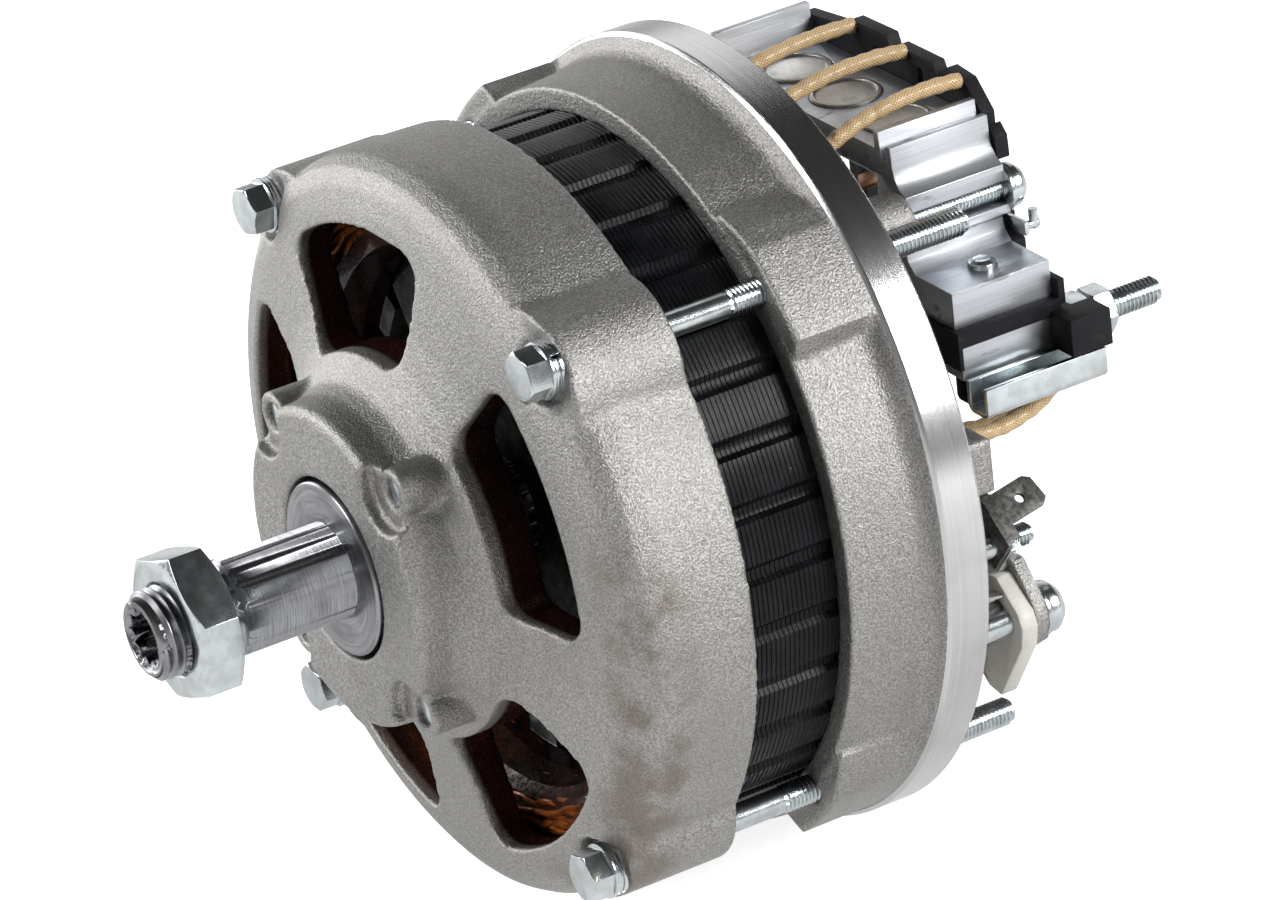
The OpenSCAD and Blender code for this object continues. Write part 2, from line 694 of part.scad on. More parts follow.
module channel_clip() {
    clip_end_y = 36.5;
    color("#c4c8bf") difference() {
        union() {
            along_y(sink_y, clip_end_y) difference() {
                union() {
                    translate([50.3, 15.7]) square([6.1, 4]);
                    translate([51.9, 14.1]) square([2.9, 5.6]);
                    translate([51.9, 15.7]) circle(r = 1.6);
                    translate([54.8, 15.7]) circle(r = 1.6);
                }
                translate([51.3, 15.7]) square([4.1, 5]);
                translate([51.9, 15.1]) square([2.9, 5]);
                translate([51.9, 15.7]) circle(r = 0.6);
                translate([54.8, 15.7]) circle(r = 0.6);
            }
            translate([45.8, sink_y + 1.5, 17.7]) cube([4.6, 18.3, 1.5]);
        }
        at_xz(stud_xz) rod_y(5.3, 32.2, clip_end_y + 1);
    }
}

module output_stud() {
    stud_head_y = 22;
    color("#c9ccd0") at_xz(stud_xz) union() {
        rod_y(stud_core_r, stud_head_y, stud_thread_y + 0.1);
        rod_y(2.5, stud_thread_y + 0.1, stud_end_y - 0.6);
        rod_y(2.5, stud_end_y - 0.6, stud_end_y, 2);
    }
}

module stud_washer() {
    color("#c9ccd0") at_xz(stud_xz) tube_y(2.5, 5, 32.3, 33.3);
}

module stud_spring_washer() {
    color("#c9ccd0") at_xz(stud_xz) difference() {
        tube_y(2.5, 4.4, 33.3, 34.5);
        translate([2, 32, -0.3]) cube([4, 4, 0.6]);
    }
}

module stud_nut() {
    color("#c9ccd0") at_xz(stud_xz) difference() {
        for (y = stud_nut_ys) hex_chamfered(8, y, y + stud_nut_h);
        rod_y(stud_core_r, 33, 46);
    }
}

module stud_shield() {
    color("#17181a") difference() {
        translate([50.3, 30, 19.7]) cube([5.8, 8.2, 6.7]);
        at_xz(stud_xz) rod_y(5.3, 32.3, 39.5);
    }
}

module phase_leads() {
    color("#c9a36b") for (l = phase_leads) lead(l[0], l[1], l[2], l[3], lead_d / 2);
}

module neutral_leads() {
    color("#c9a36b") for (x = neutral_x)
        lead(x, neutral_arc[0], neutral_arc[1], neutral_arc[2], lead_d / 2);
}

module solder_tag() {
    color("#b9bcc0") union() {
        translate([34.8, 32.6, 36.4]) cube([5.8, 0.8, 2.4]);
        translate([39.4, 33.2, 37.6]) rod_y(0.8, 0, 2.8);
        translate([39.4, 35.2, 36.9]) cylinder(r = 0.8, h = 3.4);
    }
}

// Brushes and regulator
module brush_box() {
    color("#1d1e20") difference() {
        translate([-6, 10.4, -40]) cube([12, 19.4, 30.6]);
        for (y = ring_ys) translate([-brush_w / 2 - brush_gap, y + 0.7 - brush_gap, -38])
            cube([brush_w + 2 * brush_gap, 5 + 2 * brush_gap, 40]);
        rod_y(ring_r + 0.6, 9, 31);
    }
}

module brush(y) {
    translate([-brush_w / 2, y + 0.7, brush_top_z - brush_len])
        cube([brush_w, 5, brush_len]);
}

module inner_brush() {
    color("#3a3432") difference() {
        brush(ring_ys[0]);
        rod_y(ring_r + 0.3, 5, 35);
    }
}

module outer_brush() {
    color("#3a3432") difference() {
        brush(ring_ys[1]);
        rod_y(ring_r + 0.3, 5, 35);
    }
}

module spring(y) {
    turns = 8;
    bottom = -38;
    top = brush_top_z - brush_len;
    wire = 0.35;
    step = (top - bottom - 2 * wire) / turns;
    for (i = [0:turns]) translate([0, y + 3.2, bottom + wire + i * step])
        rotate_extrude() translate([1.8, 0]) circle(r = wire);
}

module inner_spring() {
    color("#b7babd") spring(ring_ys[0]);
}

module outer_spring() {
    color("#b7babd") spring(ring_ys[1]);
}

module regulator_body() {
    color("#26282b") difference() {
        union() {
            translate([6, 13.4, -38]) cube([24, 12, 24]);
            for (i = [0:4]) translate([8 + i * 4.6, 25.4, -36]) cube([1.8, 3.6, 20]);
        }
        at_xz([26, -40]) rod_y(3.4, 12, 40);
    }
}

module regulator_bracket() {
    color("#9a9da1") difference() {
        along_y(lug_y1, lug_y2) polygon([[30, -14.4], [50, -12.3], [57.2, -12.3], [62.6, -18.6],
            [63.6, -21.6], [62.8, -25.6], [59.4, -28.2], [50, -30.6], [30, -37]]);
        at_xz(lug_xz) rod_y(2.5, 5, 25);
    }
}

module nylon_plate() {
    color("#e6e4da") difference() {
        along_y(lug_y0, lug_y1) polygon([[44, -15], [50, -14.4], [57, -14.4], [62.8, -19.4],
            [63.8, -21.8], [63, -25.8], [55.2, -37.6], [51.6, -37], [44, -30]]);
        at_xz(lug_xz) rod_y(2.5, 5, 25);
    }
}

module lug_screw() {
    color("#c9ccd0") union() {
        at_xz(lug_xz) pan_screw(lug_y2 + 1, 1, 2.5, 4.6, 3.4);
        at_xz([26, -40]) pan_screw(lug_y0 + 3.3, 1, 2, 3.3, 2.4);
    }
}

module lug_washer() {
    color("#c9ccd0") at_xz(lug_xz) tube_y(2.5, 4.9, lug_y2, lug_y2 + 1);
}

module blade_tab() {
    thick = 0.8;
    color("#8e8c86") at_xz(tab_stud_xz) at_angle(tab_turn) difference() {
        union() {
            translate([-6.8, 10.2, -2.9]) cube([10, thick, 8.1]);
            translate([-6.8, 10.2, 4.4]) cube([9, 3, thick]);
            translate([-3.4, 11.4, 4.4]) rotate([0, 0, 10]) linear_extrude(height = thick)
                polygon([[-blade_w / 2, 0], [-blade_w / 2, 8.6], [-blade_w / 2 + 1, 9.9],
                    [blade_w / 2 - 1, 9.9], [blade_w / 2, 8.6], [blade_w / 2, 0]]);
        }
        rod_y(2, 5, 20);
        translate([-3.4, 11.4, 4]) rotate([0, 0, 10]) translate([0, 5.6, 0]) cylinder(r = 0.88, h = 2);
    }
}

module tab_stud_and_nut() {
    color("#c9ccd0") at_xz(tab_stud_xz) at_angle(tab_turn) union() {
        rod_y(2, 8, 17.6);
        rod_y(2, 17.6, 18.1, 1.6);
        translate([-3.5, 11, -3.5]) cube([7, 2.3, 7]);
    }
}

drive_end_housing();
rear_housing();
stator_core();
stator_winding();
through_bolts();
bolt_washers();
bearing_retainer();
retainer_screws();
front_bearing_outer();
front_bearing_inner();
front_bearing_balls();
front_bearing_cage();
front_bearing_seals();
rear_bearing_sleeve();
rear_bearing_outer();
rear_bearing_inner();
rear_bearing_balls();
rear_bearing_cage();
rotor_shaft();
spacer_ring();
inner_spacer();
shaft_nut();
front_claw_pole();
rear_claw_pole();
rotor_core();
coil_bobbin();
field_coil();
slip_ring_insulator();
slip_rings();
negative_heat_sink();
positive_heat_sink();
negative_diodes();
positive_diodes();
phase_terminals();
rectifier_carrier();
insulating_plate();
sink_rivet();
rectifier_screws();
rectifier_washers();
channel_clip();
output_stud();
stud_washer();
stud_spring_washer();
stud_nut();
stud_shield();
phase_leads();
neutral_leads();
solder_tag();
brush_box();
inner_brush();
outer_brush();
inner_spring();
outer_spring();
regulator_body();
regulator_bracket();
nylon_plate();
lug_screw();
lug_washer();
blade_tab();
tab_stud_and_nut();
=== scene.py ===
import json
import math

import bmesh
import bpy
import numpy as np
from bpy.props import FloatProperty, FloatVectorProperty, IntProperty, PointerProperty
from mathutils import Matrix, Vector

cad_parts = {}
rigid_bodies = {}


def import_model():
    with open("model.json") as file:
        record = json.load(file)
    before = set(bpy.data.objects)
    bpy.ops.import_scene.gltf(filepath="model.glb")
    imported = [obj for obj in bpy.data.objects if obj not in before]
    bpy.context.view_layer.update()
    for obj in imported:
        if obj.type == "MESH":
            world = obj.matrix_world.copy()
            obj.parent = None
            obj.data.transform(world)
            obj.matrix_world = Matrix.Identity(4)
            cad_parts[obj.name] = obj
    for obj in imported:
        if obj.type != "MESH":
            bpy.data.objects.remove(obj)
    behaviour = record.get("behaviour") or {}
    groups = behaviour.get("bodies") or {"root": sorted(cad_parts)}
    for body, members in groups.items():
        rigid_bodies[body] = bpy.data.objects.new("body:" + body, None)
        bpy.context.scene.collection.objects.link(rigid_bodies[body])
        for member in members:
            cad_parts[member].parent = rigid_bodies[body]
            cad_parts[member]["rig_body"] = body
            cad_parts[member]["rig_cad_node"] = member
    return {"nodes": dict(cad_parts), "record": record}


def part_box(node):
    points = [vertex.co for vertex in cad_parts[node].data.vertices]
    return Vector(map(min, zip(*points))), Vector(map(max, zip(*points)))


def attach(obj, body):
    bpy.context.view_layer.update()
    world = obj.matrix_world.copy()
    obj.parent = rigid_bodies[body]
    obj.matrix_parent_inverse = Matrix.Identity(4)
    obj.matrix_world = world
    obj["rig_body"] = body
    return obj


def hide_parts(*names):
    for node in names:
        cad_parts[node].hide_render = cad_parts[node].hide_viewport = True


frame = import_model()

bl_info = {
    "name": "Alternator dresser",
    "version": (1, 0, 0),
    "blender": (4, 5, 0),
    "location": "View3D > Sidebar > Alternator",
    "description": "Dresses the packed alternator with finishes, threads, sheets and wiring",
    "category": "Object",
}

MM = 0.001
NODES = frame["nodes"]
BODY_OF = {node: body for body, members in frame["record"]["behaviour"]["bodies"].items()
           for node in members}
SLOT_OF = {row["node"]: row["material_slot"] for row in frame["record"]["subparts"]}
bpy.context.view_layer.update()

# Most triangles of one casting
TRIANGLES = 190000
# Angles in degrees: edges shaded smooth, and faces that count as one flat face
SMOOTH = 32
FLAT = 0.4
# How far a thread's ridge is sunk into its core, in millimetres
SUNK = 0.02

# The long bolts' circle, what the lamps aim at and the floor, in millimetres and degrees
BOLT_CIRCLE = 65.5
BOLT_ANGLES = (45, 135, 225, 315)
MIDDLE_Y = -35
FLOOR_Z = -71.8

# X of each lead, then Y and Z of three points on its arc, in millimetres
PHASE_LEADS = ((-7.5, (-7, 54), (10, 59.8), (31.9, 61.3)),
               (8.4, (-7, 53.6), (9, 60), (31.9, 61)),
               (25.2, (-7, 50), (9.7, 58.7), (31.9, 60.6)))
NEUTRAL_ARC = ((1.4, 16), (17.9, 8), (31.8, 13.4))
NEUTRAL_LEADS = ((46.2, *NEUTRAL_ARC), (48.9, *NEUTRAL_ARC))

# X from the clip's left side and Z from 4 mm under its top, round the liner's section
LINER = ((0.95, 3.6), (0.95, 0), (1.6, -0.65), (4.5, -0.65), (5.1, 0), (5.1, 2.9), (4.4, 2.9),
         (4.4, 0.3), (2.3, 0.3), (2.3, 3.6))

# Broken edge of each plain part in millimetres
EDGES = {
    "negative_heat_sink": 0.14, "positive_heat_sink": 0.2, "rectifier_carrier": 0.25,
    "insulating_plate": 0.15, "channel_clip": 0.08, "stud_shield": 0.25, "stud_nut": 0.12,
    "shaft_nut": 0.2, "bolt_washers": 0.06, "rectifier_washers": 0.1, "stud_washer": 0.1,
    "stud_spring_washer": 0.08, "spacer_ring": 0.15, "brush_box": 0.3, "regulator_body": 0.3,
    "regulator_bracket": 0.3, "nylon_plate": 0.25, "lug_screw": 0.25, "lug_washer": 0.12,
    "blade_tab": 0.08, "sink_rivet": 0.15, "solder_tag": 0.1, "phase_terminals": 0.08,
    "slip_ring_insulator": 0.15, "slip_rings": 0.12, "front_claw_pole": 0.7,
    "rear_claw_pole": 0.7, "bearing_retainer": 0.2, "retainer_screws": 0.15,
}

# Name, place in metres, power in watts and width in metres of each lamp
LAMPS = (("key", (1.03, 0.59, 0.64), 18.0, 0.52),
         ("left_wall", (-1.20, -0.42, 0.16), 7.5, 0.8),
         ("back_wall", (-1.00, 0.66, 0.66), 2.2, 0.9),
         ("front", (-0.40, -1.00, 0.66), 9.0, 0.45))


# Sizes and colours that a user would change
class AlternatorSizes(bpy.types.PropertyGroup):
    cast_voxel: FloatProperty(name="Casting grain", default=0.55, min=0.4, max=2,
                              description="Mesh size of the castings in mm")
    edge_round: FloatProperty(name="Edge rounding", default=1.0, min=0.1, max=2,
                              description="Share of its own broken edge that a plain part gets")
    bolt_pitch: FloatProperty(name="Bolt pitch", default=0.8, min=0.4, max=1.5,
                              description="Thread pitch of the long bolts and the stud in mm")
    nose_pitch: FloatProperty(name="Shaft pitch", default=1.5, min=0.75, max=2,
                              description="Thread pitch of the shaft nose in mm")
    lamination: FloatProperty(name="Lamination", default=0.93, min=0.4, max=2,
                              description="Thickness of one stator sheet in mm")
    strands: IntProperty(name="Winding strands", default=34, min=8, max=80,
                         description="Wires laid round each winding head")


class AlternatorColours(bpy.types.PropertyGroup):
    casting: FloatVectorProperty(name="Casting", description="Blasted cast aluminium",
                                 subtype="COLOR", size=3, default=(0.37, 0.362, 0.348))
    zinc: FloatVectorProperty(name="Zinc", description="Zinc plating of the fasteners",
                              subtype="COLOR", size=3, default=(0.50, 0.535, 0.55))
    copper: FloatVectorProperty(name="Winding", description="Enamelled winding wire",
                                subtype="COLOR", size=3, default=(0.68, 0.19, 0.035))
    plastic: FloatVectorProperty(name="Plastic", description="Black moulded parts",
                                 subtype="COLOR", size=3, default=(0.011, 0.011, 0.013))


class AlternatorCamera(bpy.types.PropertyGroup):
    azimuth: FloatProperty(name="Azimuth", description="Turn round the object in degrees",
                           default=61.176)
    elevation: FloatProperty(name="Elevation", description="Height above the horizon in degrees",
                             default=25.484)
    roll: FloatProperty(name="Roll", description="Turn about the line of sight in degrees",
                        default=-6.797)
    place: FloatVectorProperty(name="Place", description="Camera position in metres", size=3,
                               default=(0.920377, -0.530235, 0.501914))
    lens: FloatProperty(name="Focal length", description="Lens for a 36 mm sensor", default=190.07)


# Shader maths
class Value:
    """A shader value that takes part in sums and products."""

    def __init__(self, paint, socket):
        self.paint = paint
        self.socket = socket

    def math(self, operation, *others):
        return self.paint.math(operation, self, *others)

    def __add__(self, other):
        return self.math("ADD", other)

    def __sub__(self, other):
        return self.math("SUBTRACT", other)

    def __rsub__(self, other):
        return self.paint.math("SUBTRACT", other, self)

    def __mul__(self, other):
        return self.math("MULTIPLY", other)

    def __pow__(self, other):
        return self.math("POWER", other)

    __radd__ = __add__

    def sine(self):
        return self.math("SINE")

    def step(self, low, high):
        """0 below low and 1 above high, with a soft rise between them."""
        node = self.paint.make("ShaderNodeMapRange", {"interpolation_type": "SMOOTHSTEP"},
                               {0: self, 1: low, 2: high, 3: 0.0, 4: 1.0})
        return Value(self.paint, node.outputs[0])


class Paint:
    """One node material, measured in millimetres of the object's own frame."""

    def __init__(self, name):
        self.material = bpy.data.materials.new(name)
        self.material.use_nodes = True
        self.start(self.material.node_tree)
        place = self.make("ShaderNodeTexCoord").outputs["Object"]
        self.measure(self.vector("SCALE", place, scale=1 / MM))

    def start(self, tree):
        self.tree = tree
        self.tree.nodes.clear()

    def measure(self, place):
        self.place = place
        axes = self.make("ShaderNodeSeparateXYZ", {}, {0: place}).outputs
        self.x, self.y, self.z = (Value(self, axis) for axis in axes)

    @classmethod
    def of_world(cls, scene):
        """The room round the object, measured by the direction looked in."""
        p = cls.__new__(cls)
        scene.world = bpy.data.worlds.new("soft_room")
        scene.world.use_nodes = True
        p.start(scene.world.node_tree)
        p.measure(p.make("ShaderNodeTexCoord").outputs["Generated"])
        return p

    def make(self, kind, settings=None, inputs=None):
        node = self.tree.nodes.new(kind)
        for name, value in (settings or {}).items():
            setattr(node, name, value)
        for name, value in (inputs or {}).items():
            socket = node.inputs[name]
            if isinstance(value, Value):
                self.tree.links.new(value.socket, socket)
            elif isinstance(value, bpy.types.NodeSocket):
                self.tree.links.new(value, socket)
            else:
                socket.default_value = value
        return node

    def math(self, operation, *values):
        node = self.make("ShaderNodeMath", {"operation": operation}, dict(enumerate(values)))
        return Value(self, node.outputs[0])

    def vector(self, operation, a, b=None, scale=None):
        inputs = {0: a}
        if b is not None:
            inputs[1] = b
        if scale is not None:
            inputs[3] = scale
        node = self.make("ShaderNodeVectorMath", {"operation": operation}, inputs)
        return node.outputs[0]

    def combine(self, x, y, z):
        return self.make("ShaderNodeCombineXYZ", {}, {0: x, 1: y, 2: z}).outputs[0]

    def noise(self, per_mm, detail=2.0, rough=0.5, at=None):
        """Noise with the given number of grains to the millimetre along each axis."""
        if isinstance(per_mm, (int, float)):
            per_mm = (per_mm,) * 3
        scaled = self.vector("MULTIPLY", at or self.place, per_mm)
        node = self.make("ShaderNodeTexNoise", {},
                         {"Vector": scaled, "Scale": 1.0, "Detail": detail, "Roughness": rough})
        return Value(self, node.outputs[0])

    def lathe(self, turn, along, out, detail=3.0):
        """Noise drawn out round the Y axis, as a turning tool leaves its marks."""
        place = self.combine(self.turn() * turn, self.y * along, self.radius() * out)
        return self.noise(1.0, detail, 0.6, at=place)

    def radius(self):
        return (self.x * self.x + self.z * self.z) ** 0.5

    def turn(self):
        return self.math("ARCTAN2", self.z, self.x)

    def mix(self, share, a, b):
        def colour(value):
            return value if isinstance(value, bpy.types.NodeSocket) else (*value[:3], 1.0)
        node = self.make("ShaderNodeMix", {"data_type": "RGBA"},
                         {0: share, 6: colour(a), 7: colour(b)})
        return node.outputs[2]

    def finish(self, colour, rough, metal=0.0, height=None, depth=0.05, fixed=None):
        """Ends the material: height is a bump in shares of depth, which is in millimetres."""
        inputs = {"Roughness": rough, "Metallic": metal}
        inputs["Base Color"] = (colour if isinstance(colour, bpy.types.NodeSocket)
                                else (*colour[:3], 1.0))
        if height is not None:
            bump = self.make("ShaderNodeBump", {}, {"Strength": 1.0, "Distance": depth * MM,
                                                    "Height": height})
            inputs["Normal"] = bump.outputs[0]
        inputs.update(fixed or {})
        shader = self.make("ShaderNodeBsdfPrincipled", {}, inputs)
        self.make("ShaderNodeOutputMaterial", {}, {0: shader.outputs[0]})
        return self.material


def chosen(name):
    """One of the colours that the user can change."""
    return tuple(getattr(bpy.context.scene.alternator_colours, name))


def shade(tone, share):
    return tuple(share * c for c in tone)


def blasted_casting():
    """Bead-blasted casting, with soot at the front rim, and red-brown varnish on the inside that
    is darkened to near-black as painted shade.
    """
    p = Paint("blasted_casting")
    tone = chosen("casting")
    grain = p.noise(2.7, 2.0, 0.7)
    coarse = p.noise(1.1, 2.0, 0.6)
    cloud = p.noise(0.05, 3.0, 0.6)
    colour = p.mix(grain.step(0.36, 0.66), shade(tone, 0.66), shade(tone, 1.26))
    colour = p.mix(cloud.step(0.40, 0.70) * 0.30, colour, shade(tone, 0.74))
    rim = p.y.step(-70.0, -65.5) * p.y.step(-52.0, -59.0) * p.radius().step(56.0, 61.0)
    side = p.x.step(20.0, 45.0) * p.z.step(26.0, 8.0)
    soot = p.noise(0.09, 5.0, 0.6).step(0.40, 0.62) * rim * side
    colour = p.mix(soot * 0.60, colour, (0.150, 0.115, 0.085))
    # Depth behind the front shield's cone, whose tip lies 78.8 mm before the ring's face
    slope, tip, wall_r = 0.2, 78.8, 60.8
    depth = p.y - (p.radius() * slope - tip)
    front = p.radius().step(wall_r, wall_r - 1) * depth.step(1.5, 2.6) * p.y.step(-6.6, -8.2)
    # Inside the shield: dark red-brown varnish, made near-black as painted shade of the hollows
    # behind the windows
    colour = p.mix(front, colour, p.mix(cloud.step(0.3, 0.6), (0.006, 0.002, 0.002),
                                        (0.022, 0.005, 0.004)))
    rough = 0.38 + grain * 0.18 - front * 0.20
    bump = grain * (1 - front * 0.8) + coarse * 0.7
    return p.finish(colour, rough, 0.95 - front * 0.80, bump, 0.20)


def turned_aluminium():
    p = Paint("turned_ring")
    lathe = p.lathe(1.2, 7, 7)
    smear = p.noise((0.05, 0.05, 0.09), 3.0, 0.55)
    edge = (p.noise(1.6, 3.0, 0.7) + p.y.step(-1.0, -0.25)).step(1.1, 1.4)
    colour = p.mix(lathe.step(0.25, 0.75), (0.52, 0.525, 0.53), (0.64, 0.64, 0.64))
    colour = p.mix(smear.step(0.5, 0.75) * 0.30, colour, (0.40, 0.38, 0.35))
    colour = p.mix(edge * 0.5, colour, (0.36, 0.34, 0.31))
    rough = 0.16 + lathe * 0.08 + edge * 0.2
    return p.finish(colour, rough, 1.0, lathe + edge * 2.0, 0.03)


def extruded_aluminium():
    p = Paint("drawn_aluminium")
    lines = p.noise((3.4, 0.04, 3.4), 2.0, 0.6)
    broad = p.noise((0.8, 0.03, 0.8), 2.0, 0.5)
    smudge = p.noise((0.22, 0.1, 0.3), 3.0, 0.6)
    colour = p.mix(lines.step(0.3, 0.7), (0.47, 0.485, 0.51), (0.56, 0.58, 0.61))
    colour = p.mix(broad.step(0.45, 0.7) * 0.25, colour, (0.36, 0.37, 0.39))
    colour = p.mix(smudge.step(0.62, 0.70) * 0.6, colour, (0.16, 0.15, 0.15))
    rough = 0.34 + broad * 0.10 + smudge.step(0.58, 0.7) * 0.15
    return p.finish(colour, rough, 0.95, lines + broad, 0.015)


def zinc_plate():
    p = Paint("zinc_plate")
    tone = chosen("zinc")
    cloud = p.noise(0.35, 3.0, 0.55)
    fine = p.noise(4.0, 2.0, 0.6)
    colour = p.mix(cloud.step(0.35, 0.65), tone, shade(tone, 1.22))
    colour = p.mix(p.noise(0.25, 2.0).step(0.55, 0.75) * 0.4, colour, (0.54, 0.52, 0.44))
    colour = p.mix(fine.step(0.62, 0.75) * 0.5, colour, (0.28, 0.29, 0.29))
    rough = 0.13 + cloud * 0.12 + fine * 0.06
    return p.finish(colour, rough, 1.0, fine + cloud, 0.02)


def ground_steel():
    p = Paint("ground_steel")
    rings = p.lathe(1.4, 5, 2)
    cloud = p.noise((0.10, 0.16, 0.10), 3.0, 0.6)
    colour = p.mix(rings.step(0.3, 0.7), (0.20, 0.205, 0.22), (0.36, 0.365, 0.38))
    colour = p.mix(cloud.step(0.50, 0.75) * 0.5, colour, (0.12, 0.11, 0.11))
    rough = 0.20 + cloud * 0.12 + rings * 0.04
    return p.finish(colour, rough, 1.0, rings, 0.004)


def bearing_steel():
    p = Paint("bearing_steel")
    rings = p.lathe(1.0, 6, 6, detail=2.0)
    colour = p.mix(rings.step(0.3, 0.7), (0.50, 0.50, 0.50), (0.64, 0.64, 0.63))
    return p.finish(colour, 0.18 + rings * 0.1, 1.0, rings, 0.01)


def black_stack():
    p = Paint("varnished_stack")
    drip = p.noise((0.25, 0.12, 0.25), 3.0, 0.6)
    fine = p.noise((0.6, 5.0, 0.6), 3.0, 0.7)
    wear_and_sheen = p.noise(1.1, 3.0, 0.7)
    colour = p.mix(drip.step(0.4, 0.7), (0.0020, 0.0024, 0.0032), (0.0070, 0.0078, 0.0095))
    # Light-grey lines along the sheets, in patches: partly worn paint, partly painted sheen of the
    # sheet edges
    colour = p.mix(wear_and_sheen.step(0.66, 0.78) * fine.step(0.5, 0.62) * 0.8, colour,
                   (0.32, 0.31, 0.30))
    rough = 0.26 + drip * 0.16
    return p.finish(colour, rough, 0.0, fine + drip * 0.8, 0.06, {"Specular IOR Level": 0.18})


def claw_iron():
    p = Paint("claw_iron")
    scale = p.noise(0.5, 4.0, 0.65)
    grain = p.noise(2.6, 3.0, 0.6)
    colour = p.mix(scale.step(0.35, 0.65), (0.07, 0.065, 0.065), (0.16, 0.155, 0.15))
    turned = p.radius().step(45.6, 45.85)
    colour = p.mix(turned, colour, (0.42, 0.41, 0.40))
    return p.finish(colour, 0.5 - turned * 0.18 + grain * 0.1, 0.85, grain + scale, 0.08)


def enamelled_wire():
    p = Paint("enamelled_wire")
    tone = chosen("copper")
    along = p.noise(0.16, 3.0, 0.6)
    resin = p.noise(0.5, 3.0, 0.6)
    # About half the wire is painted shade: copper darkened to 12 % of its tone, with
    # copper-coloured strands between
    colour = p.mix(along.step(0.38, 0.58), shade(tone, 0.12), tone)
    colour = p.mix(resin.step(0.58, 0.74) * 0.7, colour, (0.10, 0.035, 0.015))
    return p.finish(colour, 0.24 + resin * 0.2, 0.55, resin, 0.06,
                    {"Coat Weight": 0.6, "Coat Roughness": 0.12})


def copper_strip():
    p = Paint("copper_strip")
    rings = p.lathe(1.0, 6, 3)
    dull = p.noise(0.4, 3.0, 0.6)
    colour = p.mix(rings.step(0.3, 0.7), (0.56, 0.28, 0.15), (0.72, 0.42, 0.26))
    colour = p.mix(dull.step(0.5, 0.72) * 0.6, colour, (0.20, 0.11, 0.07))
    return p.finish(colour, 0.24 + dull * 0.2, 1.0, rings, 0.02)


def diode_metal():
    p = Paint("diode_metal")
    brushed = p.noise((0.5, 5.5, 0.5), 3.0, 0.65)
    stain = p.noise(0.3, 3.0, 0.6)
    colour = p.mix(brushed.step(0.3, 0.7), (0.36, 0.34, 0.315), (0.52, 0.50, 0.47))
    colour = p.mix(stain.step(0.5, 0.75) * 0.4, colour, (0.22, 0.20, 0.18))
    return p.finish(colour, 0.30 + stain * 0.16, 1.0, brushed, 0.025)


def black_moulding():
    p = Paint("black_moulding")
    tone = chosen("plastic")
    grain = p.noise(3.0, 3.0, 0.6)
    dust = p.noise(0.3, 4.0, 0.7)
    colour = p.mix(dust.step(0.55, 0.8) * 0.3, tone, (0.08, 0.076, 0.07))
    return p.finish(colour, 0.38 + grain * 0.14 + dust * 0.1, 0.0, grain + dust, 0.05,
                    {"Specular IOR Level": 0.15})


def stained_nylon():
    p = Paint("stained_nylon")
    cloud = p.noise(0.3, 3.0, 0.6)
    fine = p.noise(1.6, 3.0, 0.6)
    colour = p.mix(cloud.step(0.4, 0.7) * 0.35, (0.60, 0.59, 0.55), (0.50, 0.45, 0.37))
    stain = (p.noise(0.5, 3.0, 0.6) * 3 + p.x * -0.32).step(-15.4, -14.2)
    colour = p.mix(stain * 0.85, colour, (0.22, 0.085, 0.04))
    return p.finish(colour, 0.36 + fine * 0.12, 0.0, fine + cloud, 0.06,
                    {"Subsurface Weight": 0.08, "Subsurface Radius": (0.001, 0.0009, 0.0007)})


def braided_sleeve():
    """Glass braid whose weave follows the sleeve, from its own UV map in millimetres and turns."""
    p = Paint("braided_sleeve")
    uv = p.make("ShaderNodeUVMap", {"uv_map": "sleeve"}).outputs[0]
    parts = p.make("ShaderNodeSeparateXYZ", {}, {0: uv}).outputs
    along, around = (Value(p, part) for part in parts[:2])
    weaves_per_turn, lay_per_mm = 13, 9.4
    lay = along * lay_per_mm
    ply = around * (2 * math.pi * weaves_per_turn)
    left, right = (lay + ply).sine(), (lay - ply).sine()
    weave = left.math("MAXIMUM", right)
    varnish = p.noise(0.16, 3.0, 0.6).step(0.56, 0.66) * p.y.step(20.0, 8.0)
    strand = p.noise(5.0, 2.0, 0.6)
    colour = p.mix(weave.step(-0.3, 0.8), (0.40, 0.25, 0.115), (0.66, 0.47, 0.25))
    colour = p.mix(strand.step(0.4, 0.7) * 0.25, colour, (0.72, 0.56, 0.35))
    colour = p.mix(varnish * 0.8, colour, (0.15, 0.055, 0.016))
    rough = 0.40 - varnish * 0.22 + strand * 0.1
    return p.finish(colour, rough, 0.0, weave * (1 - varnish * 0.6) + strand * 0.3, 0.06,
                    {"Coat Weight": 0.35, "Coat Roughness": 0.2})


def two_tone(name, noise, limits, dark, light, rough, metal=0.0, depth=0.05, fixed=None):
    """The maker of a plain finish, whose colours, roughness and bump come from one noise."""
    def made():
        p = Paint(name)
        lump = p.noise(*noise)
        colour = p.mix(lump.step(*limits), dark, light)
        return p.finish(colour, rough[0] + lump * rough[1], metal, lump, depth, fixed)
    return made


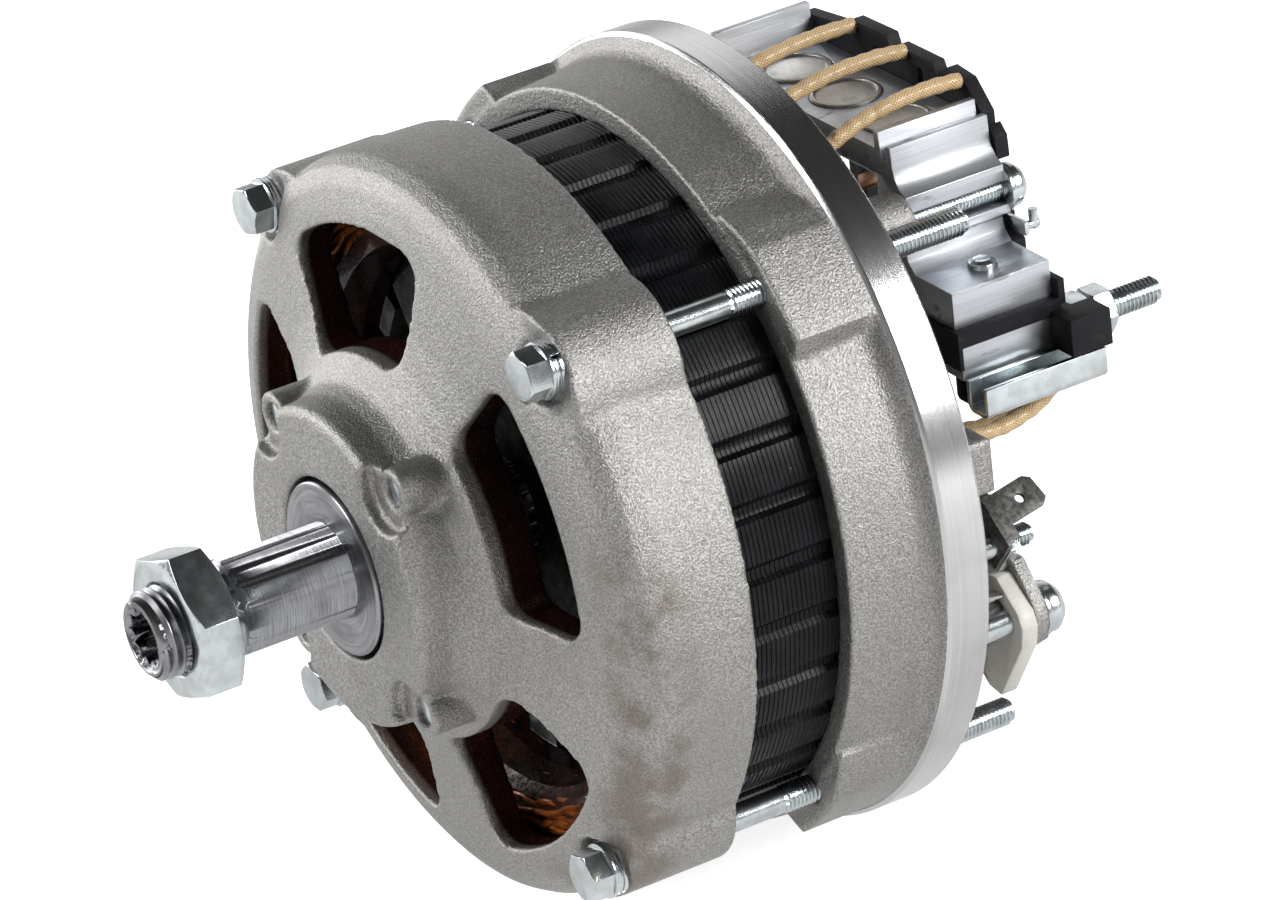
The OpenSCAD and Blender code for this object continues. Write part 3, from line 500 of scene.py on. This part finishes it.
FINISHES = {
    "cast_aluminium": blasted_casting,
    "turned_ring": turned_aluminium,
    "extruded_aluminium": extruded_aluminium,
    "zinc_steel": zinc_plate,
    "bare_steel": ground_steel,
    "bearing_steel": bearing_steel,
    "black_lamination": black_stack,
    "grey_iron": claw_iron,
    "wire": enamelled_wire,
    "copper_strip": copper_strip,
    "diode_metal": diode_metal,
    "black_plastic": black_moulding,
    "nylon": stained_nylon,
    "braided_sleeve": braided_sleeve,
    # Winding bulk: dark red resin, made near-black as painted shade inside the housing
    "copper_wire": two_tone(
        "resin_bulk", (0.6, 3.0, 0.6), (0.35, 0.65), (0.020, 0.008, 0.006),
        (0.075, 0.022, 0.010), (0.3, 0.2), 0.2, 0.4, {"Coat Weight": 0.4}),
    "black_rubber": two_tone(
        "black_rubber", (2.0, 3.0, 0.6), (0.4, 0.7), (0.016, 0.016, 0.017),
        (0.035, 0.034, 0.033), (0.6, 0.15), depth=0.04),
    "brown_resin": two_tone(
        "brown_resin", (0.7, 3.0, 0.6), (0.35, 0.65), (0.05, 0.025, 0.014),
        (0.14, 0.075, 0.04), (0.34, 0.2), depth=0.08, fixed={"Coat Weight": 0.3}),
    "bobbin_plastic": two_tone(
        "bobbin_moulding", (0.7, 3.0, 0.6), (0.35, 0.65), (0.42, 0.33, 0.2),
        (0.56, 0.46, 0.3), (0.45, 0.1)),
    "tinned_steel": two_tone(
        "tin_blade", (1.0, 3.0, 0.6), (0.35, 0.7), (0.085, 0.083, 0.08),
        (0.20, 0.195, 0.185), (0.46, 0.14), 0.9, 0.02),
    "carbon": two_tone(
        "pressed_carbon", (3.0, 3.0, 0.7), (0.35, 0.65), (0.04, 0.035, 0.034),
        (0.10, 0.085, 0.08), (0.5, 0.1), 0.3, 0.03),
}
_made = {}


def finish_of(slot):
    if slot not in _made:
        _made[slot] = FINISHES[slot]()
    return _made[slot]


# Modelling steps
def deselect():
    if bpy.context.object and bpy.context.object.mode != "OBJECT":
        bpy.ops.object.mode_set(mode="OBJECT")
    bpy.ops.object.select_all(action="DESELECT")


def take(obj):
    deselect()
    obj.select_set(True)
    bpy.context.view_layer.objects.active = obj


def everything():
    bpy.ops.mesh.select_all(action="SELECT")


def open_edges():
    bpy.ops.mesh.select_all(action="DESELECT")
    bpy.ops.mesh.select_non_manifold()


def outwards():
    bpy.ops.mesh.normals_make_consistent(inside=False)


def merged():
    bpy.ops.mesh.remove_doubles(threshold=0.002 * MM)


def flattened():
    bpy.ops.mesh.dissolve_limited(angle_limit=math.radians(FLAT))


def spin(steps, angle=2 * math.pi, center=(0, 0, 0), axis=(0, 1, 0)):
    return lambda: bpy.ops.mesh.spin(steps=steps, angle=angle, center=center, axis=axis)


def edit(obj, *steps):
    """Runs edit-mode steps on one object; the first finds the whole mesh selected."""
    take(obj)
    bpy.ops.object.mode_set(mode="EDIT")
    everything()
    for step in steps:
        step()
    bpy.ops.object.mode_set(mode="OBJECT")


def modify(obj, kind, **settings):
    modifier = obj.modifiers.new(kind.title(), kind)
    for name, value in settings.items():
        setattr(modifier, name, value)
    take(obj)
    bpy.ops.object.modifier_apply(modifier=modifier.name)


def bevel(piece, width, angle=30, segments=2):
    """Breaks the edges that turn by more than an angle in degrees; width in millimetres."""
    modify(piece, "BEVEL", width=width * MM, segments=segments, limit_method="ANGLE",
           angle_limit=math.radians(angle))


def move_to(piece, at):
    """Moves a piece by X and Z in millimetres."""
    piece.location = (at[0] * MM, 0, at[1] * MM)
    take(piece)
    bpy.ops.object.transform_apply(location=True)


def radius_of(vertex):
    """Distance of a vertex from the Y axis in millimetres."""
    return math.hypot(vertex.co.x, vertex.co.z) / MM


def to_radius(vertex, radius):
    """Moves a vertex straight in or out, to a radius in millimetres."""
    share = radius / radius_of(vertex)
    vertex.co.x *= share
    vertex.co.z *= share


def copy_of(node):
    """A merged copy of a CAD node's mesh, free of the frame's marks."""
    piece = NODES[node].copy()
    piece.data = NODES[node].data.copy()
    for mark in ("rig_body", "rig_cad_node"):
        if mark in piece:
            del piece[mark]
    piece.parent = None
    bpy.context.scene.collection.objects.link(piece)
    edit(piece, merged)
    return piece


def dress(piece, name, body, slot, *replaced, smooth=SMOOTH, finish=None):
    """Names a piece, gives it its finish and hangs it on its body."""
    piece.name = name
    piece.data.name = name
    piece.data.materials.clear()
    piece.data.materials.append(finish_of(finish or slot))
    take(piece)
    bpy.ops.object.transform_apply(location=True, rotation=True, scale=True)
    bpy.ops.object.shade_smooth_by_angle(angle=math.radians(smooth))
    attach(piece, body)
    if replaced:
        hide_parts(*replaced)
    return piece


def ring_of(points):
    """A closed loop through points, from a circle primitive."""
    deselect()
    bpy.ops.mesh.primitive_circle_add(vertices=len(points), radius=1, fill_type="NOTHING")
    piece = bpy.context.object
    for vertex, point in zip(piece.data.vertices, points):
        vertex.co = point
    return piece


def spun(profile, steps=96, at=(0.0, 0.0)):
    """Turns a closed profile of radius and Y, in millimetres, about a line along Y."""
    piece = ring_of([Vector((r * MM, y * MM, 0)) for r, y in profile])
    edit(piece, spin(steps), merged,
         lambda: bpy.ops.mesh.dissolve_degenerate(threshold=1e-4 * MM), outwards)
    move_to(piece, at)
    return piece


def drawn(outline, y0, y1, edge):
    """Draws a closed outline of X and Z along Y, with its edges broken."""
    piece = ring_of([Vector((x * MM, y0 * MM, z * MM)) for x, z in outline])
    edit(piece, bpy.ops.mesh.edge_face_add,
         lambda: bpy.ops.mesh.extrude_region_move(
             TRANSFORM_OT_translate={"value": (0, (y1 - y0) * MM, 0)}),
         everything, outwards)
    bevel(piece, edge, angle=25)
    return piece


def join(pieces):
    deselect()
    for piece in pieces:
        piece.select_set(True)
    bpy.context.view_layer.objects.active = pieces[0]
    if len(pieces) > 1:
        bpy.ops.object.join()
    return bpy.context.object


def cut(piece, y, keep_front):
    """Cuts a closed piece across Y and closes the cut."""
    edit(piece, lambda: bpy.ops.mesh.bisect(
        plane_co=(0, y * MM, 0), plane_no=(0, 1, 0), use_fill=True,
        clear_outer=keep_front, clear_inner=not keep_front))
    return piece


def threaded(r, pitch, y0, y1, at, with_core=True, steps=20):
    """A thread along Y: a closed helical ridge and, inside it, a plain core."""
    depth = 0.58 * pitch
    root = r - depth
    section = ((root - SUNK, 0), (r, 0.42), (r, 0.52), (root - SUNK, 0.94))
    ridge = ring_of([Vector((x * MM, (y0 + share * pitch) * MM, 0)) for x, share in section])
    turns = int((y1 - y0) / pitch - 0.95)
    modify(ridge, "SCREW", axis="Y", angle=2 * math.pi, screw_offset=pitch * MM,
           iterations=turns, steps=steps, render_steps=steps, use_merge_vertices=False)
    edit(ridge, open_edges, lambda: bpy.ops.mesh.fill_holes(sides=4), everything, outwards)
    move_to(ridge, at)
    if not with_core:
        return ridge
    tip = 0.35 * depth
    core = spun([(0.0, y0), (root, y0), (root, y1 - tip), (root - tip, y1), (0.0, y1)], 32, at)
    return join([core, ridge])


class PieceOperator:
    bl_options = {"REGISTER", "UNDO"}


class ALTERNATOR_OT_finishes(PieceOperator, bpy.types.Operator):
    """Give every node that keeps its own shape its finish"""
    bl_idname = "alternator.finishes"
    bl_label = "Finishes"

    def execute(self, context):
        for name, node in NODES.items():
            node.data.materials.clear()
            node.data.materials.append(finish_of(SLOT_OF[name]))
            take(node)
            bpy.ops.object.shade_smooth_by_angle(angle=math.radians(SMOOTH))
        deselect()
        return {"FINISHED"}


class ALTERNATOR_OT_castings(PieceOperator, bpy.types.Operator):
    """Model both end shields as castings with soft edges"""
    bl_idname = "alternator.castings"
    bl_label = "Cast end shields"

    def execute(self, context):
        voxel = context.scene.alternator_sizes.cast_voxel * MM
        for node in ("drive_end_housing", "rear_housing"):
            piece = copy_of(node)
            modify(piece, "REMESH", mode="VOXEL", voxel_size=voxel)
            modify(piece, "SMOOTH", factor=0.5, iterations=3)
            self.fillet(piece)
            triangles = len(piece.data.polygons) * 2
            if triangles > TRIANGLES:
                modify(piece, "DECIMATE", ratio=TRIANGLES / triangles)
            low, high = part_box(node)
            for vertex in piece.data.vertices:
                for axis in range(3):
                    vertex.co[axis] = min(max(vertex.co[axis], low[axis]), high[axis])
            dress(piece, node + "_casting", "housing", SLOT_OF[node], node, smooth=60)
        return {"FINISHED"}

    def fillet(self, piece):
        """Rounds the inner corners more than the outer ones, as a pattern maker does."""
        spread, rounds, gain, least = 4, 22, 1.6, 0.05
        hub_r, hub_y = 34 * MM, -77.5 * MM
        mesh = piece.data
        count = len(mesh.vertices)
        place = self.rows(mesh.vertices, "co", 3)
        normal = self.rows(mesh.vertices, "normal", 3)
        ends = self.rows(mesh.edges, "vertices", 2, np.int64)
        neighbours = np.bincount(ends.ravel(), minlength=count)

        def around(values):
            total = (np.bincount(ends[:, 0], values[ends[:, 1]], count)
                     + np.bincount(ends[:, 1], values[ends[:, 0]], count))
            return total / neighbours

        middle = np.column_stack([around(place[:, axis]) for axis in range(3)])
        hollow = np.einsum("ij,ij->i", middle - place, normal) > 0.02 * MM
        weight = hollow.astype(float)
        for _ in range(spread):
            weight = np.maximum(weight, around(weight))
        hub = (np.hypot(place[:, 0], place[:, 2]) < hub_r) & (place[:, 1] < hub_y)
        weight = np.clip(weight * gain, 0, 1) * ~hub
        group = piece.vertex_groups.new(name="hollow")
        for index in np.nonzero(weight > least)[0]:
            group.add([int(index)], float(weight[index]), "REPLACE")
        modify(piece, "SMOOTH", factor=0.5, iterations=rounds, vertex_group="hollow")
        piece.vertex_groups.clear()

    def rows(self, items, attribute, width, kind=float):
        """One attribute of every vertex or edge, a row for each."""
        values = np.empty(len(items) * width, dtype=kind)
        items.foreach_get(attribute, values)
        return values.reshape(-1, width)


class ALTERNATOR_OT_pilot_ring(PieceOperator, bpy.types.Operator):
    """Turn the machined pilot ring over the rear casting"""
    bl_idname = "alternator.pilot_ring"
    bl_label = "Pilot ring"

    def execute(self, context):
        seat_r, seat_front, step_r, step_y = 70.7, -9.2, 62, -0.35
        for vertex in bpy.data.objects["rear_housing_casting"].data.vertices:
            r = radius_of(vertex)
            if r > seat_r and vertex.co.y > seat_front * MM:
                to_radius(vertex, seat_r)
            if r > step_r:
                vertex.co.y = min(vertex.co.y, step_y * MM)
        ring = spun([(63.0, 0.0), (70.9, 0.0), (71.4, -0.45), (71.4, -7.5), (71.0, -8.0),
                     (69.9, -8.55), (68.4, -8.1), (66.6, -1.4), (63.0, -1.2)], 160)
        dress(ring, "pilot_ring", "housing", "cast_aluminium", smooth=25, finish="turned_ring")
        return {"FINISHED"}


class ALTERNATOR_OT_stack(PieceOperator, bpy.types.Operator):
    """Lay the notched sheets round the stator stack"""
    bl_idname = "alternator.stack"
    bl_label = "Stator sheets"

    def execute(self, context):
        sheet = context.scene.alternator_sizes.lamination
        outer, inner, front, rear, lip = 62.35, 60.0, -46.0, -21.0, 0.16
        slots, per_slot, notch_r, notch_circle = 36, 12, 2.05, 63.2
        pitch = 2 * math.pi / slots
        turns = [pitch * i / per_slot for i in range(per_slot * slots)]

        def edge(turn, shrink):
            across = abs((turn / pitch) % 1 - 0.5) * pitch * notch_circle
            r = outer - shrink
            if across < notch_r:
                r = min(r, notch_circle - math.sqrt(notch_r ** 2 - across ** 2) - shrink)
            return r

        def loop(y, shrink=None):
            """One row of points round the sheets' edge or, without a shrink, inside it."""
            rows = [(t, inner if shrink is None else edge(t, shrink)) for t in turns]
            return [Vector((r * math.cos(t) * MM, y * MM, r * math.sin(t) * MM))
                    for t, r in rows]

        levels = []
        y = front
        while y < rear:
            levels += [(y, lip), (y + 0.12 * sheet, 0.0), (y + 0.78 * sheet, 0.0),
                       (y + 0.9 * sheet, lip)]
            y += sheet
        piece = ring_of(loop(front))

        def grow():
            for ring in [loop(*level) for level in levels] + [loop(levels[-1][0])]:
                bpy.ops.mesh.extrude_edges_move()
                mesh = bmesh.from_edit_mesh(piece.data)
                row = sorted((v for v in mesh.verts if v.select), key=lambda v: v.index)
                for vertex, point in zip(row, ring):
                    vertex.co = point
                bmesh.update_edit_mesh(piece.data)

        edit(piece, grow, open_edges, bpy.ops.mesh.bridge_edge_loops, everything, outwards)
        dress(piece, "stator_sheets", "housing", "black_lamination", smooth=30)
        return {"FINISHED"}


class ALTERNATOR_OT_winding(PieceOperator, bpy.types.Operator):
    """Wind the wires round both winding heads"""
    bl_idname = "alternator.winding"
    bl_label = "Winding strands"

    def execute(self, context):
        count = context.scene.alternator_sizes.strands
        wire_r, middle_r, half_wide, low, tall = 0.62, 54.1, 5.1, 4.6, 7.3
        for label, y_stack, side in (("front", -46.4, -1), ("rear", -20.8, 1)):
            wires = []
            for i in range(count):
                swing = math.pi * (i / (count - 1) * 1.16 - 0.08)
                r = middle_r - half_wide * math.cos(swing)
                y = y_stack + side * (low + tall * math.sin(swing))
                deselect()
                bpy.ops.mesh.primitive_circle_add(vertices=6, radius=wire_r * MM,
                                                  location=(r * MM, y * MM, 0))
                wire = context.object
                bpy.ops.object.transform_apply(location=True)
                edit(wire, spin(144), merged, outwards)
                phase = 1.7 * i
                for vertex in wire.data.vertices:
                    t = math.atan2(vertex.co.z, vertex.co.x)
                    grow = 1 + 0.010 * math.sin(12 * t + phase) + 0.004 * math.sin(36 * t + i)
                    vertex.co.x *= grow
                    vertex.co.z *= grow
                    vertex.co.y += (0.5 * math.sin(18 * t + 2.3 * i)
                                    + 0.35 * math.sin(7 * t + phase)) * MM
                wires.append(wire)
            dress(join(wires), f"winding_{label}_strands", "housing", "copper_wire", smooth=60,
                  finish="wire")
        return {"FINISHED"}


class ALTERNATOR_OT_bolts(PieceOperator, bpy.types.Operator):
    """Make the long bolts with their threaded rear ends"""
    bl_idname = "alternator.bolts"
    bl_label = "Long bolts"

    def execute(self, context):
        pitch = context.scene.alternator_sizes.bolt_pitch
        bolt_r, start, end = 2.5, -30.5, 16.9
        heads = copy_of("through_bolts")
        cut(heads, start, True)
        edit(heads, flattened)
        bevel(heads, 0.12, angle=22)
        pieces = [heads]
        for angle in map(math.radians, BOLT_ANGLES):
            place = (BOLT_CIRCLE * math.cos(angle), BOLT_CIRCLE * math.sin(angle))
            pieces.append(threaded(bolt_r, pitch, start, end, place))
        dress(join(pieces), "long_bolts", "housing", "zinc_steel", "through_bolts")
        return {"FINISHED"}


class ALTERNATOR_OT_small_threads(PieceOperator, bpy.types.Operator):
    """Cut threads on the output stud, the tab stud and the rectifier screws"""
    bl_idname = "alternator.small_threads"
    bl_label = "Small threads"

    def execute(self, context):
        stud_r, stud_cut, stud_ends, stud_place = 2.5, 33, (32.6, 53.6), (47.1, 21.9)
        tab_cut, tab_ends, tab_place = 13.25, (13.0, 18.1), (56, -8.8)
        screw_cut, screw_ends, screw_x, screw_z = 31.5, (-4, 32.2), 34.9, 43.8
        small_r, small_pitch = 2.0, 0.7
        stud = copy_of("output_stud")
        cut(stud, stud_cut, True)
        pitch = context.scene.alternator_sizes.bolt_pitch
        dress(join([stud, threaded(stud_r, pitch, *stud_ends, stud_place)]),
              "output_stud_threaded", "housing", "zinc_steel", "output_stud")
        tab = copy_of("tab_stud_and_nut")
        edit(tab, flattened)
        cut(tab, tab_cut, True)
        bevel(tab, 0.2)
        dress(join([tab, threaded(small_r, small_pitch, *tab_ends, tab_place)]),
              "tab_stud_threaded", "housing", "zinc_steel", "tab_stud_and_nut")
        screws = copy_of("rectifier_screws")
        cut(screws, screw_cut, False)
        bevel(screws, 0.25, segments=3)
        shanks = [threaded(small_r, small_pitch, *screw_ends, (x, screw_z))
                  for x in (screw_x, -screw_x)]
        dress(join([screws] + shanks), "rectifier_screws_threaded", "housing", "zinc_steel",
              "rectifier_screws")
        return {"FINISHED"}


class ALTERNATOR_OT_shaft(PieceOperator, bpy.types.Operator):
    """Give the shaft its threaded nose"""
    bl_idname = "alternator.shaft"
    bl_label = "Shaft"

    def execute(self, context):
        # Two cuts bound a short cone; in front of it the nose goes down to the thread's root
        step_front, step_rear, core_r, root_r = -116.2, -115.7, 6.9, 6.95
        nose_r, front, rear, chamfer_r, chamfer_y = 7.9, -121.5, -115.3, 6.6, -121.6
        shaft = copy_of("rotor_shaft")
        for y in (step_front, step_rear):
            edit(shaft, lambda: bpy.ops.mesh.bisect(plane_co=(0, y * MM, 0),
                                                    plane_no=(0, 1, 0)))
        for vertex in shaft.data.vertices:
            in_front = vertex.co.y / MM < (step_front + step_rear) / 2
            if in_front and radius_of(vertex) > core_r:
                to_radius(vertex, root_r)
        pitch = context.scene.alternator_sizes.nose_pitch
        ridge = threaded(nose_r, pitch, front, rear, (0, 0), with_core=False, steps=72)
        for vertex in ridge.data.vertices:
            limit = chamfer_r + max(0, vertex.co.y / MM - chamfer_y)
            if radius_of(vertex) > limit:
                to_radius(vertex, limit)
        dress(join([shaft, ridge]), "shaft_turned", "rotor", "bare_steel", "rotor_shaft",
              smooth=28)
        return {"FINISHED"}


class ALTERNATOR_OT_diodes(PieceOperator, bpy.types.Operator):
    """Model the pressed diodes with knurled rims"""
    bl_idname = "alternator.diodes"
    bl_label = "Diodes"

    def execute(self, context):
        places, middle_y, deep = (-10.2, 5.4, 21.0), 21.4, 4.9
        steps, rim_r, knurl_r = 120, 6.2, 6.46
        for node, z_face, side in (("negative_diodes", 55.5, 1), ("positive_diodes", 19.2, -1)):
            cups = []
            for x in places:
                cup = spun([(0, -5.2), (5.6, -5.2), (6.05, -4.6), (6.28, -4.4), (6.28, 0.15),
                            (6.1, 0.42), (5.62, 0.5), (5.45, 0.36), (5.3, 0.10), (4.9, 0.12),
                            (3.2, 0.2), (0, 0.26)], steps)
                for vertex in cup.data.vertices:
                    turn = math.atan2(vertex.co.z, vertex.co.x)
                    if radius_of(vertex) > rim_r and round(turn / (2 * math.pi) * steps) % 2:
                        to_radius(vertex, knurl_r)
                flip = Matrix.Rotation(math.radians(90 * side), 4, "X")
                place = Matrix.Translation((x * MM, middle_y * MM, z_face * MM))
                cup.data.transform(place @ flip)
                cups.append(cup)
            core = copy_of(node)
            edit(core, lambda: bpy.ops.mesh.bisect(
                plane_co=(0, 0, (z_face - side * deep) * MM), plane_no=(0, 0, side),
                use_fill=True, clear_outer=True))
            dress(join(cups + [core]), node + "_pressed", "housing", "diode_metal", node)
        return {"FINISHED"}


class ALTERNATOR_OT_leads(PieceOperator, bpy.types.Operator):
    """Lay the braided sleeves of the phase and neutral leads"""
    bl_idname = "alternator.leads"
    bl_label = "Sleeved leads"

    def execute(self, context):
        for name, node, leads in (("phase_lead_sleeves", "phase_leads", PHASE_LEADS),
                                  ("neutral_lead_sleeves", "neutral_leads", NEUTRAL_LEADS)):
            sleeves = [self.sleeve(*lead) for lead in leads]
            dress(join(sleeves), name, "housing", "braided_sleeve", node, smooth=60)
        return {"FINISHED"}

    def sleeve(self, x, a, b, c):
        """One sleeve bent to the arc through three points of Y and Z, with its own UV map."""
        sleeve_r, sides, steps = 1.35, 20, 90
        d = 2 * (a[0] * (b[1] - c[1]) + b[0] * (c[1] - a[1]) + c[0] * (a[1] - b[1]))
        squares = [p[0] ** 2 + p[1] ** 2 for p in (a, b, c)]
        cy = (squares[0] * (b[1] - c[1]) + squares[1] * (c[1] - a[1])
              + squares[2] * (a[1] - b[1])) / d
        cz = (squares[0] * (c[0] - b[0]) + squares[1] * (a[0] - c[0])
              + squares[2] * (b[0] - a[0])) / d
        bend_r = math.hypot(a[0] - cy, a[1] - cz)
        start = math.atan2(a[1] - cz, a[0] - cy)
        end = math.atan2(c[1] - cz, c[0] - cy)
        out = Vector((0, math.cos(start), math.sin(start)))
        turns = [2 * math.pi * i / sides for i in range(sides)]
        piece = ring_of([(Vector((x, cy, cz)) + out * (bend_r + sleeve_r * math.cos(t))
                          + Vector((sleeve_r * math.sin(t), 0, 0))) * MM for t in turns])
        edit(piece, bpy.ops.mesh.edge_face_add,
             spin(steps, start - end, (x * MM, cy * MM, cz * MM), (1, 0, 0)),
             everything, merged, outwards)
        for vertex in piece.data.vertices:
            y, z = vertex.co.y / MM - cy, vertex.co.z / MM - cz
            far = math.hypot(y, z)
            wave = 0.05 * math.sin(2.1 * vertex.co.y / MM + x) + 0.03 * math.sin(vertex.co.y / MM)
            vertex.co.x += (vertex.co.x - x * MM) * wave
            vertex.co.y += y / far * (far - bend_r) * wave * MM
            vertex.co.z += z / far * (far - bend_r) * wave * MM
        uv = piece.data.uv_layers.new(name="sleeve")
        for face in piece.data.polygons:
            rows = []
            for corner in face.loop_indices:
                co = piece.data.vertices[piece.data.loops[corner].vertex_index].co / MM
                y, z = co.y - cy, co.z - cz
                along = (math.atan2(z, y) - start) * bend_r
                around = math.atan2(co.x - x, math.hypot(y, z) - bend_r) / (2 * math.pi)
                rows.append([corner, along, around])
            top = max(row[2] for row in rows)
            for row in rows:
                if top - row[2] > 0.5:
                    row[2] += 1
                uv.data[row[0]].uv = row[1:]
        return piece


class ALTERNATOR_OT_plain_parts(PieceOperator, bpy.types.Operator):
    """Break the corners of the sheets, mouldings and nuts"""
    bl_idname = "alternator.plain_parts"
    bl_label = "Plain parts"

    def execute(self, context):
        share = context.scene.alternator_sizes.edge_round
        for node, width in EDGES.items():
            piece = copy_of(node)
            edit(piece, flattened, outwards)
            bevel(piece, width * share)
            dress(piece, node + "_body", BODY_OF[node], SLOT_OF[node], node)
        liner_z, short, liner_edge, nut_turn = -4, 0.2, 0.1, 20
        low, high = (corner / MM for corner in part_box("channel_clip"))
        liner = drawn([(low.x + x, high.z + liner_z + z) for x, z in LINER],
                      low.y + short, high.y - short, liner_edge)
        dress(liner, "clip_liner", "housing", "black_plastic")
        # The nut stands a little further round than the CAD's
        edit(bpy.data.objects["shaft_nut_body"], lambda: bpy.ops.transform.rotate(
            value=math.radians(nut_turn), orient_axis="Y", center_override=(0, 0, 0)))
        return {"FINISHED"}


class ALTERNATOR_OT_stage(PieceOperator, bpy.types.Operator):
    """Set the floor, the lights and the camera"""
    bl_idname = "alternator.stage"
    bl_label = "Stage"

    def execute(self, context):
        scene = context.scene
        view = scene.alternator_camera
        turn, rise, roll = (math.radians(v) for v in (view.azimuth, view.elevation, view.roll))
        back = Vector((math.sin(turn) * math.cos(rise), -math.cos(turn) * math.cos(rise),
                       math.sin(rise)))
        level = Vector((math.cos(turn), math.sin(turn), 0))
        above = back.cross(level)
        right = level * math.cos(roll) + above * math.sin(roll)
        up = back.cross(right)
        camera = bpy.data.objects.new("camera", bpy.data.cameras.new("camera"))
        scene.collection.objects.link(camera)
        camera.matrix_world = Matrix.Translation(view.place) @ Matrix(
            (right, up, back)).transposed().to_4x4()
        camera.data.sensor_width = 36
        camera.data.lens = view.lens
        camera.data.clip_start, camera.data.clip_end = 0.05, 20
        scene.camera = camera

        deselect()
        bpy.ops.mesh.primitive_plane_add(size=8, location=(0, 0, FLOOR_Z * MM))
        floor = context.object
        floor.name = "floor"
        floor.data.materials.append(self.floor_finish())
        centre = Vector((0, MIDDLE_Y * MM, 0))
        for name, place, power, size in LAMPS:
            lamp = bpy.data.objects.new(name, bpy.data.lights.new(name, "AREA"))
            scene.collection.objects.link(lamp)
            lamp.data.energy, lamp.data.size = power, size
            lamp.location = place
            lamp.visible_camera = False
            lamp.rotation_euler = (centre - Vector(place)).to_track_quat("-Z", "Y").to_euler()
        self.world_finish(scene)
        scene.view_settings.view_transform = "Standard"
        return {"FINISHED"}

    def seen(self, paint):
        """1 for the rays that show the floor or room itself, and less for its reflections."""
        reflected = 0.30
        rays = paint.make("ShaderNodeLightPath").outputs
        mirrored = Value(paint, rays["Is Glossy Ray"]).math("MAXIMUM",
                                                           rays["Is Transmission Ray"])
        return Value(paint, rays["Is Camera Ray"]).math("MAXIMUM", mirrored * reflected)

    def floor_finish(self):
        """A pale floor that takes shadows and glows a little where it is seen."""
        p = Paint("pale_floor")
        diffuse = p.make("ShaderNodeBsdfDiffuse", {}, {"Color": (0.80, 0.80, 0.80, 1)})
        glow = p.make("ShaderNodeEmission", {}, {"Color": (1, 1, 1, 1),
                                                 "Strength": self.seen(p) * 0.78})
        both = p.make("ShaderNodeAddShader", {}, {0: diffuse.outputs[0], 1: glow.outputs[0]})
        p.make("ShaderNodeOutputMaterial", {}, {0: both.outputs[0]})
        return p.material

    def world_finish(self, scene):
        """A white room under a dark ceiling, which lights the part less than it shows."""
        ceiling_shown, ceiling_light, light = 0.86, 0.6, 0.26
        p = Paint.of_world(scene)
        ceiling = p.z.step(0.34, 0.66)
        seen = self.seen(p)
        shown = seen * (1 - ceiling * ceiling_shown)
        unseen = (1 - seen.step(0.0, 0.1)) * (1 - ceiling * ceiling_light)
        room = p.make("ShaderNodeBackground", {}, {"Color": (1, 1, 1, 1),
                                                   "Strength": shown + unseen * light})
        p.make("ShaderNodeOutputWorld", {}, {0: room.outputs[0]})


class ALTERNATOR_PT_panel(bpy.types.Panel):
    bl_idname = "ALTERNATOR_PT_panel"
    bl_label = "Alternator"
    bl_space_type = "VIEW_3D"
    bl_region_type = "UI"
    bl_category = "Alternator"

    def draw(self, context):
        for group in (context.scene.alternator_sizes, context.scene.alternator_colours,
                      context.scene.alternator_camera):
            for name in group.bl_rna.properties.keys():
                if name not in ("rna_type", "name"):
                    self.layout.prop(group, name)
        for operator in STEPS:
            self.layout.operator(operator.bl_idname)


STEPS = (ALTERNATOR_OT_stage, ALTERNATOR_OT_finishes, ALTERNATOR_OT_castings,
         ALTERNATOR_OT_pilot_ring, ALTERNATOR_OT_stack, ALTERNATOR_OT_winding,
         ALTERNATOR_OT_bolts, ALTERNATOR_OT_small_threads, ALTERNATOR_OT_shaft,
         ALTERNATOR_OT_diodes, ALTERNATOR_OT_leads, ALTERNATOR_OT_plain_parts)
GROUPS = (("alternator_sizes", AlternatorSizes), ("alternator_colours", AlternatorColours),
          ("alternator_camera", AlternatorCamera))


def register():
    for _, group in GROUPS:
        bpy.utils.register_class(group)
    for name, group in GROUPS:
        setattr(bpy.types.Scene, name, PointerProperty(type=group))
    for step in STEPS:
        bpy.utils.register_class(step)
    bpy.utils.register_class(ALTERNATOR_PT_panel)


def unregister():
    bpy.utils.unregister_class(ALTERNATOR_PT_panel)
    for step in reversed(STEPS):
        bpy.utils.unregister_class(step)
    for name, group in reversed(GROUPS):
        delattr(bpy.types.Scene, name)
        bpy.utils.unregister_class(group)


def main():
    register()
    for step in STEPS:
        family, name = step.bl_idname.split(".")
        getattr(getattr(bpy.ops, family), name)()
    deselect()


if __name__ == "__main__":
    main()
